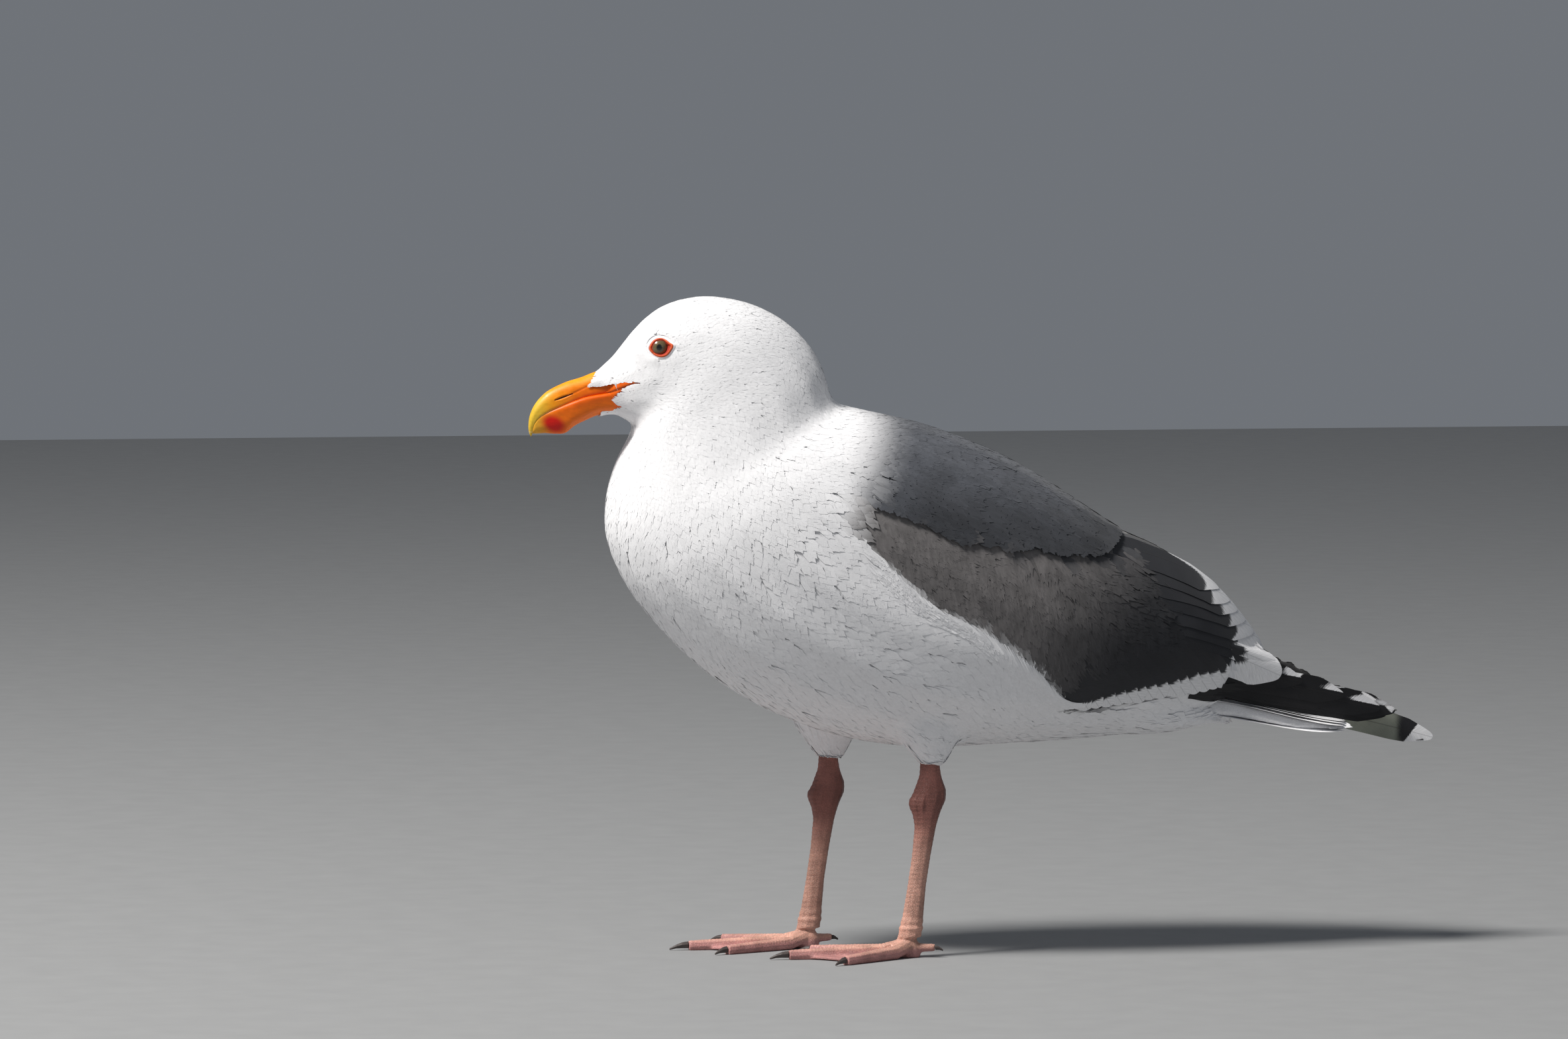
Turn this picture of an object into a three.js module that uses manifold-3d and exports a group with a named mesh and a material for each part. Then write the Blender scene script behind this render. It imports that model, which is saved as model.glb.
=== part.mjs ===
// Adult western gull (Larus occidentalis) standing at rest, life size, in millimetres.
// +X runs from the bill to the tail, +Y towards the bird's right side, +Z up, with the soles on z = 0.
// Head, neck and trunk are one swept form, parted by thin cuts. The folded wings are the outer shell
// of that form inside a leaf-shaped outline, and everything else is fitted into it with a thin gap.
import * as THREE from "three";
import { mergeVertices } from "three/addons/utils/BufferGeometryUtils.js";
import Module from "manifold-3d";

// ---------------------------------------------------------------- driving dimensions

const GAP = 0.35; // clearance between neighbouring solids
const SMOOTHING = 0.1; // how far a facet may move where cuts have left needless small ones
const LEFT = -1;
const RIGHT = 1;
const SIDES = { left: LEFT, right: RIGHT };
const FAR = 500; // farther than any part of the bird reaches from the origin

// Ribs of the body: each runs from a point on the underline to one on the topline, both [x, z],
// and "half" is the half width across it. They fan round the throat and then round the nape.
const RIBS = [
  { at: "bill base", under: [-214.5, 309.5], top: [-224, 331.5], half: 8 },
  { at: "lore", under: [-209, 306.5], top: [-213, 341], half: 14 },
  { at: "fore eye", under: [-204.5, 304], top: [-202, 354.5], half: 20.5 },
  { at: "eye", under: [-201.5, 301], top: [-187, 368], half: 25.5 },
  { at: "fore crown", under: [-201.3, 297], top: [-168, 374], half: 28.5 },
  { at: "crown", under: [-204.5, 291], top: [-148, 373.5], half: 31 },
  { at: "hind crown", under: [-210, 283], top: [-127.5, 367.5], half: 34.5 },
  { at: "upper nape", under: [-215.5, 270], top: [-107, 354], half: 38.5 },
  { at: "nape", under: [-218, 256], top: [-93, 334], half: 43.5 },
  { at: "nape fold", under: [-218, 241], top: [-87, 314], half: 48.5 },
  { at: "shoulder", under: [-213.5, 226], top: [-75.5, 311], half: 54 },
  { at: "upper breast", under: [-203.5, 207], top: [-58, 307], half: 60 },
  { at: "breast", under: [-184.5, 184], top: [-37, 302], half: 64 },
  { at: "keel", under: [-155.5, 157.5], top: [-11, 293], half: 66.5 },
  { at: "fore belly", under: [-121, 137.5], top: [17, 280.5], half: 67 },
  { at: "belly", under: [-82, 123.5], top: [46, 263], half: 66 },
  { at: "thighs", under: [-38, 117], top: [78, 242], half: 62 },
  { at: "vent", under: [12, 118.5], top: [107, 227.5], half: 54 },
  { at: "rump", under: [58, 120.5], top: [132, 209.5], half: 44 },
  { at: "tertials", under: [98, 125.5], top: [150, 189], half: 32 },
  { at: "tertial tips", under: [134, 139], top: [165, 167], half: 18 },
  { at: "end", under: [154, 148], top: [171, 156], half: 5 },
];
const RING_STEPS = 2; // rings from one rib to the next
const RING_SIDES = 18;
const SQUARENESS = 2.15; // superellipse exponent of a rib's section; 2 is an ellipse
const HEAD_ENDS_AT = 7.0; // rib number of the cut from head to neck
const NECK_ENDS_AT = 10.4; // and from neck to trunk
const TRUNK_ENDS_AT = 15.7; // and from the fleshy trunk to the loose feathers of rump and vent

const COAT = 14; // thickness of the layer of wing and mantle feathers
const PAST_SURFACE = 3; // how far the room cut for that layer reaches out past the body

// Front edge of the grey mantle in side view, from the topline down to the wing.
const MANTLE_FRONT = [[-60, 320], [-61, 305], [-68, 280], [-76, 258], [-78, 238]];

const WING = {
  // Outline in side view, forward edge first, then along the scapulars, over the rump and back
  // below the secondaries and the flank feathers.
  scapularEdge: [[-78, 238], [-66, 252], [-46, 245.5], [-8, 235], [32, 229], [60, 231], [84, 244], [96, 262]],
  overRump: [[200, 262], [200, 160]],
  secondaryEdge: [[174, 154], [142, 155], [112, 148], [86, 142.5], [60, 137]],
  flankEdge: [[50, 140], [36, 161], [20, 174], [-2, 185], [-26, 195], [-44, 206], [-62, 220]],
};

// A folded hand of primaries: a thin blade of stations along x, each with its top and bottom edge,
// its distance from the middle plane and its thickness.
const PRIMARIES = {
  left: [
    { x: 130, top: 166, bottom: 146, out: 24, thick: 4.4 },
    { x: 162, top: 170, bottom: 142.5, out: 16.5, thick: 5.0 },
    { x: 190, top: 157.5, bottom: 137, out: 12, thick: 4.2 },
    { x: 216, top: 146.5, bottom: 131.5, out: 9, thick: 3.0 },
    { x: 234, top: 137.5, bottom: 130.5, out: 7, thick: 2.0 },
    { x: 243, top: 135, bottom: 133, out: 6, thick: 1.2 },
  ],
  right: [
    { x: 130, top: 164, bottom: 143, out: 22, thick: 4.4 },
    { x: 162, top: 160, bottom: 139, out: 12.5, thick: 5.0 },
    { x: 190, top: 150.5, bottom: 131, out: 6, thick: 4.2 },
    { x: 218, top: 140, bottom: 122.5, out: 2.5, thick: 3.0 },
    { x: 248, top: 127, bottom: 115.5, out: 0.5, thick: 2.0 },
    { x: 265, top: 118.5, bottom: 116.5, out: -0.5, thick: 1.2 },
  ],
};
const PRIMARIES_SIDES = 8;
const PRIMARIES_SQUARENESS = 1.7; // below 2, so that the blade has sharp edges
const PRIMARIES_TWIST = 1.5; // how far the upper edge leans out from the middle of the blade

// Tail: a flat fan, closed, arched a little from side to side.
const TAIL = [
  { x: 124, z: 141, half: 16, thick: 11 },
  { x: 145, z: 138.5, half: 20, thick: 11 },
  { x: 180, z: 131, half: 25, thick: 8.5 },
  { x: 206, z: 128.8, half: 28, thick: 3 },
  { x: 213, z: 128.4, half: 25, thick: 1.8 },
];
const TAIL_ARCH = 4; // how far the tail's edges lie below its middle
const TAIL_SIDES = 12;
const TAIL_SQUARENESS = 2.6;

// Undertail coverts: the wedge of body feathers below the tail.
const UNDERTAIL = [
  { x: 52, bottom: 126, top: 148, half: 22 },
  { x: 90, bottom: 122, top: 148, half: 31 },
  { x: 110, bottom: 123.5, top: 145, half: 27 },
  { x: 128, bottom: 128, top: 141, half: 21 },
  { x: 146, bottom: 130.5, top: 136, half: 12 },
];
const UNDERTAIL_SIDES = 12;

const EYE = { x: -191.4, z: 347.2, radius: 6.6, proud: 2.2 };
const EYELID = { across: 6.4, up: 5.4, opening: 0.77, thick: 1.2 };

// Bill: stations from inside the face to the tip. "ridge" and "edge" are the top and bottom of a
// mandible's section, both [x, z].
const UPPER_BILL = [
  { ridge: [-206, 335], edge: [-200, 319], half: 8.2 },
  { ridge: [-222.5, 332.2], edge: [-218.3, 316], half: 7.7 },
  { ridge: [-232.8, 329.6], edge: [-226.8, 313.5], half: 6.9 },
  { ridge: [-242, 326.4], edge: [-235, 311], half: 6.2 },
  { ridge: [-250.2, 320.6], edge: [-242.8, 308.4], half: 5.5 },
  { ridge: [-256.4, 313.2], edge: [-249.3, 304.8], half: 4.5 },
  { ridge: [-259.6, 305], edge: [-254, 301.6], half: 3.2 },
  { ridge: [-260, 299.5], edge: [-257, 299], half: 1.8 },
  { ridge: [-258.8, 296.4], edge: [-258.2, 296.3], half: 0.5 },
];
const LOWER_BILL = [
  { ridge: [-200, 321], edge: [-203, 307.5], half: 7.2 },
  { ridge: [-216.5, 317.6], edge: [-217, 308], half: 6.8 },
  { ridge: [-226.8, 315], edge: [-228.6, 304], half: 6.2 },
  { ridge: [-235, 312.4], edge: [-236.3, 299.4], half: 5.6 },
  { ridge: [-241, 309.8], edge: [-241.8, 296.8], half: 5.0 },
  { ridge: [-246.6, 306.6], edge: [-247.9, 296.8], half: 3.8 },
  { ridge: [-251.2, 302.8], edge: [-252.6, 297.4], half: 2.4 },
  { ridge: [-254.2, 300], edge: [-254.8, 299], half: 0.8 },
];
const BILL_SIDES = 10;
const BILL_SQUARENESS = 2.3;
// The soft fold behind the bill: its middle line in side view, its radius at the bill, the share of
// it lost towards the back, how far the line lies inside the face, and its rings and sides.
const GAPE = {
  from: [-224, 318.5], to: [-199, 327], radius: 2.6, taper: 0.85, sink: 0.9, steps: 5, sides: 8,
};

// Legs: the near (left) leg stands a short step behind the right one.
const LEG = {
  out: 30, // sideways from the middle plane
  heelX: { left: -38, right: -85 }, // place of the heel joint, which bends backwards
  heelZ: 89,
  lean: -10, // how far the foot joint lies in front of the heel joint
  footZ: 11,
  topZ: 117,
};
// Sections of a leg by height: depth along x, width across, and shift of the centre along x.
const LEG_SECTIONS = [
  { z: LEG.topZ, deep: 4.8, wide: 4.2, shift: 1 },
  { z: 103, deep: 6.2, wide: 4.5, shift: 1.5 },
  { z: 95, deep: 8.6, wide: 5.6, shift: 1 },
  { z: 89, deep: 9.3, wide: 6.1, shift: 0 },
  { z: 82, deep: 7.8, wide: 5.4, shift: 0.2 },
  { z: 74, deep: 6.1, wide: 4.4, shift: 0.6 },
  { z: 58, deep: 5.3, wide: 3.7, shift: 0.4 },
  { z: 40, deep: 5.2, wide: 3.6, shift: 0 },
  { z: 22, deep: 6.0, wide: 4.4, shift: 0 },
  { z: LEG.footZ + GAP, deep: 7.0, wide: 5.4, shift: -0.6 },
];
const LEG_SIDES = 10;

const THIGH = [
  { z: 156, deep: 15, wide: 12, shift: -4 },
  { z: 142, deep: 22, wide: 16, shift: -2 },
  { z: 129, deep: 20, wide: 14.5, shift: 0 },
  { z: 119.5, deep: 14.5, wide: 10.5, shift: 1.5 },
  { z: 112, deep: 9.5, wide: 7.4, shift: 2 },
  { z: 108, deep: 7.0, wide: 5.8, shift: 2 },
];

// Toes by their own length without the claw, angle out from the direction the foot points in,
// and radii at the root and the tip.
const TOES = {
  inner: { length: 59, angle: -27, root: 4.3, tip: 3.0, claw: 8 },
  middle: { length: 70, angle: 0, root: 4.6, tip: 3.1, claw: 10.5 },
  outer: { length: 56, angle: 38, root: 4.5, tip: 3.0, claw: 8 },
  hind: { length: 9, angle: 165, root: 2.8, tip: 2.0, claw: 4 },
};
const TOE_SIDES = 8;
const TOE_STEPS = 4;
const TOE_ARCH = 4; // how far the toes rise towards the joint they share
const TOE_SINK = 0.8; // how much of a toe's round underside is pressed flat on the floor
const HIND_LIFT = 5.5; // height of the hind toe's axis over the floor
const HIND_START = 5; // how far from the leg's line the hind toe starts
// The pad below the leg: a ball flattened to these half axes, at these places from the foot joint.
const PAD = { deep: 6.93, wide: 5.61, high: 8.25, back: -0.5, up: 3.85 };
const WEB = { thick: 1.7, low: 0.4, reach: 0.9, hollow: 0.2 };
const CLAW_SIDES = 5;
const CLAW_STEPS = 3;
const CLAW_SHARE = 0.62; // a claw's radius at its root, as a share of its toe's tip
const CLAW_POINT = 0.3; // and its radius at the point

// ---------------------------------------------------------------- solids

const wasm = await Module();
wasm.setup();

// A closed three.js geometry as a manifold solid.
function solid(geometry) {
  const bare = geometry.clone();
  bare.deleteAttribute("normal");
  bare.deleteAttribute("uv");
  const merged = mergeVertices(bare, 1e-4);
  return new wasm.Manifold(
    new wasm.Mesh({
      numProp: 3,
      vertProperties: new Float32Array(merged.attributes.position.array),
      triVerts: new Uint32Array(merged.index.array),
    }),
  );
}

// A manifold solid as a three.js geometry.
function geometryOf(made) {
  const mesh = made.simplify(SMOOTHING).getMesh();
  const geometry = new THREE.BufferGeometry();
  geometry.setAttribute("position", new THREE.BufferAttribute(mesh.vertProperties, 3));
  geometry.setIndex(new THREE.BufferAttribute(mesh.triVerts, 1));
  geometry.computeVertexNormals();
  return geometry;
}

// The geometry of a closed body skinned over rings of points, with flat ends.
function loft(rings) {
  const sides = rings[0].length;
  const centre = (ring) =>
    ring.reduce((sum, p) => sum.add(p), new THREE.Vector3()).divideScalar(sides);
  const points = [...rings.flat(), centre(rings[0]), centre(rings.at(-1))];
  const [startHub, endHub] = [points.length - 2, points.length - 1];
  const index = [];
  for (let side = 0; side < sides; side++) {
    const next = (side + 1) % sides;
    for (let ring = 0; ring + 1 < rings.length; ring++) {
      const [a, b] = [ring * sides + side, ring * sides + next];
      index.push(a, b, a + sides, b, b + sides, a + sides);
    }
    const last = (rings.length - 1) * sides;
    index.push(startHub, next, side, endHub, last + side, last + next);
  }
  const geometry = new THREE.BufferGeometry().setFromPoints(points);
  geometry.setIndex(index);
  return facingOut(geometry);
}

// The geometry with its triangles turned so that they face away from what they enclose.
function facingOut(geometry) {
  const [position, index] = [geometry.attributes.position, geometry.index];
  const [a, b, c] = [0, 1, 2].map(() => new THREE.Vector3());
  let volume = 0;
  for (let i = 0; i < index.count; i += 3) {
    [a, b, c].forEach((p, k) => p.fromBufferAttribute(position, index.getX(i + k)));
    volume += a.dot(b.cross(c));
  }
  if (volume < 0) index.array.reverse();
  return geometry;
}

// A superellipse of points round a centre, between two half axes given as vectors.
function section(centre, up, out, sides, exponent = 2) {
  const bulge = (value) => Math.sign(value) * Math.abs(value) ** (2 / exponent);
  return Array.from({ length: sides }, (_, i) => {
    const turn = (i / sides) * 2 * Math.PI;
    return centre
      .clone()
      .addScaledVector(up, bulge(Math.cos(turn)))
      .addScaledVector(out, bulge(Math.sin(turn)));
  });
}

// Smooth stations: every number of a list of records, run through a curve and sampled.
function smooth(stations, steps) {
  const keys = Object.keys(stations[0]).filter((key) => typeof stations[0][key] === "number");
  const curves = keys.map(
    (key) =>
      new THREE.CatmullRomCurve3(stations.map((s, i) => new THREE.Vector3(i, s[key], 0))),
  );
  const count = (stations.length - 1) * steps;
  return Array.from({ length: count + 1 }, (_, i) =>
    Object.fromEntries(keys.map((key, k) => [key, curves[k].getPoint(i / count).y])),
  );
}

const mirrored = (made) => made.mirror([0, 1, 0]);

// The biggest of the pieces that a cut has left, without its crumbs.
function biggest(made) {
  const pieces = made.decompose();
  return pieces.reduce((best, piece) => (piece.volume() > best.volume() ? piece : best));
}

const box = (low, high) =>
  solid(
    new THREE.BoxGeometry(...high.map((value, i) => value - low[i])).translate(
      ...high.map((value, i) => (value + low[i]) / 2),
    ),
  );

// ---------------------------------------------------------------- head, neck and trunk

const inProfile = ([x, z]) => new THREE.Vector3(x, 0, z);
const ribCurves = {
  under: new THREE.CatmullRomCurve3(RIBS.map((rib) => inProfile(rib.under))),
  top: new THREE.CatmullRomCurve3(RIBS.map((rib) => inProfile(rib.top))),
  half: new THREE.CatmullRomCurve3(RIBS.map((rib, i) => new THREE.Vector3(i, rib.half, 0))),
};

// The section of the body at a rib number, whole or fractional, drawn in by "inset" all round.
function bodyRing(number, inset) {
  const along = number / (RIBS.length - 1);
  const [under, top] = [ribCurves.under.getPoint(along), ribCurves.top.getPoint(along)];
  const half = ribCurves.half.getPoint(along).y;
  const up = top.clone().sub(under).divideScalar(2);
  const shrink = Math.max(0.1, 1 - inset / half);
  return section(
    under.add(top).divideScalar(2),
    up.multiplyScalar(Math.max(0.1, 1 - inset / up.length())),
    new THREE.Vector3(0, half * shrink, 0),
    RING_SIDES,
    SQUARENESS,
  );
}

// The body from one rib number to another.
function bodyPart(from, to, inset = 0) {
  const count = Math.round((to - from) * RING_STEPS);
  const rings = Array.from({ length: count + 1 }, (_, i) =>
    bodyRing(from + ((to - from) * i) / count, inset),
  );
  return solid(loft(rings));
}

// Half the width of a cut at a rib number, in rib numbers, so that it is as wide as the gap.
function halfCut(number) {
  const places = [number - 0.5, number + 0.5].map((n) => n / (RIBS.length - 1));
  const spans = [ribCurves.under, ribCurves.top].map((curve) =>
    curve.getPoint(places[0]).distanceTo(curve.getPoint(places[1])),
  );
  return GAP / Math.min(...spans) / 2;
}

const LAST_RIB = RIBS.length - 1;
const NECK_CUT = halfCut(NECK_ENDS_AT);
const TRUNK_CUT = halfCut(TRUNK_ENDS_AT);
const body = {
  head: bodyPart(0, HEAD_ENDS_AT - halfCut(HEAD_ENDS_AT)),
  neck: bodyPart(HEAD_ENDS_AT + halfCut(HEAD_ENDS_AT), NECK_ENDS_AT - NECK_CUT),
  trunk: bodyPart(NECK_ENDS_AT + NECK_CUT, TRUNK_ENDS_AT - TRUNK_CUT),
  rump: bodyPart(TRUNK_ENDS_AT + TRUNK_CUT, LAST_RIB),
};

// ---------------------------------------------------------------- wings and mantle

const broken = (points) => points.map((p) => new THREE.Vector2(...p));
const curved = (points) => new THREE.SplineCurve(broken(points)).getPoints(points.length);

// An outline in side view moved outwards by "grow", as a block across the whole bird.
function blockAcross(line, grow) {
  const moved = line.map((point, i) => {
    const [before, after] = [line.at(i - 1), line[(i + 1) % line.length]];
    const along = after.clone().sub(before).normalize();
    return new THREE.Vector2(point.x - along.y * grow, point.y + along.x * grow);
  });
  const block = new THREE.ExtrudeGeometry(new THREE.Shape(moved), {
    depth: 2 * FAR,
    bevelEnabled: false,
  });
  block.rotateX(Math.PI / 2); // the outline's second axis becomes +Z, and the depth runs to -Y
  return solid(block).translate([0, FAR, 0]);
}

const wingLine = [
  ...curved(WING.scapularEdge),
  ...broken(WING.overRump),
  ...broken(WING.secondaryEdge),
  ...curved(WING.flankEdge),
];
const mantleLine = [...curved(WING.scapularEdge).reverse(), ...curved(MANTLE_FRONT).reverse()];
const leftHalf = box([-FAR, -FAR, 0], [FAR, -GAP / 2, FAR]);

const whole = bodyPart(NECK_ENDS_AT + NECK_CUT, LAST_RIB);
const core = bodyPart(NECK_ENDS_AT, LAST_RIB, COAT);
const coreWithin = bodyPart(NECK_ENDS_AT, LAST_RIB, COAT + GAP);
const beyond = bodyPart(NECK_ENDS_AT - 1, LAST_RIB, -PAST_SURFACE);
const shell = whole.subtract(core);
const shellRoom = beyond.subtract(coreWithin);

const wingRoom = blockAcross(wingLine, GAP).intersect(shellRoom);
const mantleRoom = blockAcross(mantleLine, GAP).intersect(shellRoom);
const wing = { left: blockAcross(wingLine, 0).intersect(shell).intersect(leftHalf) };
wing.right = mirrored(wing.left);
const mantle = blockAcross(mantleLine, 0).intersect(shell).subtract(wingRoom);
for (const name of ["trunk", "rump"]) {
  body[name] = body[name].subtract(wingRoom).subtract(mantleRoom);
}

// ---------------------------------------------------------------- primaries and tail

function primariesBlade(name, grow = 0) {
  const side = SIDES[name];
  const rings = smooth(PRIMARIES[name], 2).map((s) =>
    section(
      new THREE.Vector3(s.x, side * s.out, (s.top + s.bottom) / 2),
      new THREE.Vector3(0, side * PRIMARIES_TWIST, (s.top - s.bottom) / 2 + grow),
      new THREE.Vector3(0, s.thick / 2 + grow, 0),
      PRIMARIES_SIDES,
      PRIMARIES_SQUARENESS,
    ),
  );
  return solid(loft(rings));
}

function tailFan(grow = 0) {
  const rings = smooth(TAIL, 1).map((s) =>
    section(
      new THREE.Vector3(s.x, 0, s.z),
      new THREE.Vector3(0, 0, s.thick / 2 + grow),
      new THREE.Vector3(0, s.half + grow, 0),
      TAIL_SIDES,
      TAIL_SQUARENESS,
    ).map((p) => p.setZ(p.z - TAIL_ARCH * (p.y / s.half) ** 2)),
  );
  return solid(loft(rings));
}

const undertail = solid(
  loft(
    smooth(UNDERTAIL, 1).map((s) =>
      section(
        new THREE.Vector3(s.x, 0, (s.top + s.bottom) / 2),
        new THREE.Vector3(0, 0, (s.top - s.bottom) / 2),
        new THREE.Vector3(0, s.half, 0),
        UNDERTAIL_SIDES,
        SQUARENESS,
      ),
    ),
  ),
);

const primaries = { left: primariesBlade("left"), right: primariesBlade("right") };
const primariesRoom = primariesBlade("left", GAP).add(primariesBlade("right", GAP));
const tailRoom = tailFan(GAP);
const tail = tailFan().subtract(primariesRoom);
body.rump = body.rump
  .add(undertail.subtract(wingRoom))
  .subtract(tailRoom)
  .subtract(primariesRoom);
for (const name of Object.keys(SIDES)) {
  wing[name] = wing[name].subtract(primariesRoom).subtract(tailRoom);
}

// ---------------------------------------------------------------- bill and eyes

function mandible(stations, grow = 0) {
  const records = stations.map((s) => ({
    ridgeX: s.ridge[0],
    ridgeZ: s.ridge[1],
    edgeX: s.edge[0],
    edgeZ: s.edge[1],
    half: s.half,
  }));
  const rings = smooth(records, 2).map((s) => {
    const ridge = new THREE.Vector3(s.ridgeX, 0, s.ridgeZ);
    const edge = new THREE.Vector3(s.edgeX, 0, s.edgeZ);
    const up = ridge.clone().sub(edge).divideScalar(2);
    up.setLength(up.length() + grow);
    const out = new THREE.Vector3(0, s.half + grow, 0);
    return section(ridge.add(edge).divideScalar(2), up, out, BILL_SIDES, BILL_SQUARENESS);
  });
  return solid(loft(rings));
}

// The soft fold at the corner of the mouth, which tapers back below the eye on both sides.
function gapeFold(side, grow = 0) {
  const head = new THREE.Mesh(geometryOf(body.head));
  const ray = new THREE.Raycaster();
  const rings = Array.from({ length: GAPE.steps + 1 }, (_, i) => {
    const along = i / GAPE.steps;
    const x = THREE.MathUtils.lerp(GAPE.from[0], GAPE.to[0], along);
    const z = THREE.MathUtils.lerp(GAPE.from[1], GAPE.to[1], along);
    ray.set(new THREE.Vector3(x, side * FAR, z), new THREE.Vector3(0, -side, 0));
    const hit = ray.intersectObject(head)[0];
    const out = hit ? Math.abs(hit.point.y) : UPPER_BILL[1].half;
    const radius = GAPE.radius * (1 - GAPE.taper * along ** 1.5) + grow;
    return section(
      new THREE.Vector3(x, side * (out - GAPE.sink), z),
      new THREE.Vector3(0, 0, radius),
      new THREE.Vector3(0, radius * 0.8, 0),
      GAPE.sides,
    );
  });
  return solid(loft(rings));
}

const billLower = mandible(LOWER_BILL);
const billUpper = mandible(UPPER_BILL)
  .add(gapeFold(LEFT))
  .add(gapeFold(RIGHT))
  .subtract(mandible(LOWER_BILL, GAP));
body.head = body.head
  .subtract(mandible(UPPER_BILL, GAP))
  .subtract(mandible(LOWER_BILL, GAP))
  .subtract(gapeFold(LEFT, GAP))
  .subtract(gapeFold(RIGHT, GAP));

// Where a line across the head at the eye's height meets its side, and which way the side faces.
function eyeSocket(side) {
  const head = new THREE.Mesh(geometryOf(body.head));
  const from = new THREE.Vector3(EYE.x, side * FAR, EYE.z);
  const hit = new THREE.Raycaster(from, new THREE.Vector3(0, -side, 0)).intersectObject(head)[0];
  const facing = hit.face.normal.clone().add(new THREE.Vector3(0, side * 0.5, 0)).normalize();
  const centre = hit.point.clone().addScaledVector(facing, EYE.proud - EYE.radius);
  return { centre, facing };
}

// The ring of bare skin round the eye: an oval hoop that follows the eyeball.
function eyelidRing({ centre, facing }, grow = 0) {
  const [around, across] = [12, 4];
  const forward = new THREE.Vector3(0, 0, 1).cross(facing).normalize();
  const up = facing.clone().cross(forward);
  const shape = (angle, turn) => {
    const radial = forward
      .clone()
      .multiplyScalar(Math.cos(angle) * EYELID.across)
      .addScaledVector(up, Math.sin(angle) * EYELID.up);
    const inward = (EYELID.opening + 1) / 2 + ((1 - EYELID.opening) / 2) * Math.cos(turn);
    const middle = (radial.length() * (1 + EYELID.opening)) / 2;
    const clear = EYE.radius + GAP + radial.length() * (1 - EYELID.opening) * 0.5;
    const depth = Math.sqrt(clear ** 2 - middle ** 2);
    const growth = radial.clone().normalize().multiplyScalar(grow * Math.cos(turn));
    return centre
      .clone()
      .addScaledVector(radial, inward)
      .add(growth)
      .addScaledVector(facing, depth + Math.sin(turn) * (EYELID.thick / 2 + grow));
  };
  const points = [];
  const index = [];
  for (let i = 0; i < around; i++) {
    for (let j = 0; j < across; j++) {
      points.push(shape((i / around) * 2 * Math.PI, (j / across) * 2 * Math.PI));
      const [a, b] = [i * across + j, i * across + ((j + 1) % across)];
      const [c, d] = [a, b].map((k) => (k + across) % (around * across));
      index.push(a, c, b, b, c, d);
    }
  }
  const geometry = new THREE.BufferGeometry().setFromPoints(points);
  geometry.setIndex(index);
  return solid(facingOut(geometry));
}

const eyes = {};
const eyelids = {};
for (const [name, side] of Object.entries(SIDES)) {
  const socket = eyeSocket(side);
  const ball = (radius) =>
    solid(new THREE.SphereGeometry(radius, 12, 7)).translate(socket.centre.toArray());
  eyes[name] = ball(EYE.radius);
  eyelids[name] = eyelidRing(socket);
  body.head = body.head.subtract(ball(EYE.radius + GAP)).subtract(eyelidRing(socket, 2 * GAP));
}

// ---------------------------------------------------------------- legs and feet

// Upright sections skinned into a limb, each an ellipse round the leg's own line.
function limb(name, sections, grow = 0) {
  const side = SIDES[name];
  const drop = LEG.heelZ - LEG.footZ;
  const rings = smooth(sections, 1).map((s) => {
    const below = Math.max(0, LEG.heelZ - s.z) / drop;
    return section(
      new THREE.Vector3(LEG.heelX[name] + LEG.lean * below + s.shift, side * LEG.out, s.z),
      new THREE.Vector3(s.deep + grow, 0, 0),
      new THREE.Vector3(0, s.wide + grow, 0),
      LEG_SIDES,
    );
  });
  return solid(loft(rings));
}

// The direction of a toe on the floor, as seen from above.
function toeDirection(side, angle) {
  const turn = THREE.MathUtils.degToRad(angle);
  return new THREE.Vector3(-Math.cos(turn), side * Math.sin(turn), 0);
}

// A tapering toe.
function toe(start, direction, { length, root, tip }, lift) {
  const out = new THREE.Vector3(0, 0, 1).cross(direction);
  const rings = Array.from({ length: TOE_STEPS + 1 }, (_, i) => {
    const along = i / TOE_STEPS;
    const radius = THREE.MathUtils.lerp(root, tip, along);
    const centre = start.clone().addScaledVector(direction, along * length);
    centre.z = lift ?? radius - TOE_SINK + TOE_ARCH * Math.max(0, 1 - along * 4);
    return section(
      centre,
      new THREE.Vector3(0, 0, radius),
      out.clone().multiplyScalar(radius),
      TOE_SIDES,
    );
  });
  return solid(loft(rings));
}

// A curved, pointed claw in front of a toe's end.
function claw(start, direction, { claw: length, tip }, lift) {
  const out = new THREE.Vector3(0, 0, 1).cross(direction);
  const high = lift ?? tip - TOE_SINK + 0.6;
  const rings = Array.from({ length: CLAW_STEPS + 1 }, (_, i) => {
    const along = i / CLAW_STEPS;
    const radius = Math.max(CLAW_POINT, tip * CLAW_SHARE * (1 - along ** 1.4));
    const centre = start.clone().addScaledVector(direction, GAP + along * length);
    centre.z = THREE.MathUtils.lerp(high, Math.max(0.8, high - tip * 0.7), along ** 2.2);
    return section(
      centre,
      new THREE.Vector3(0, 0, radius),
      out.clone().multiplyScalar(radius * 0.75),
      CLAW_SIDES,
    );
  });
  return solid(loft(rings));
}

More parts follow.
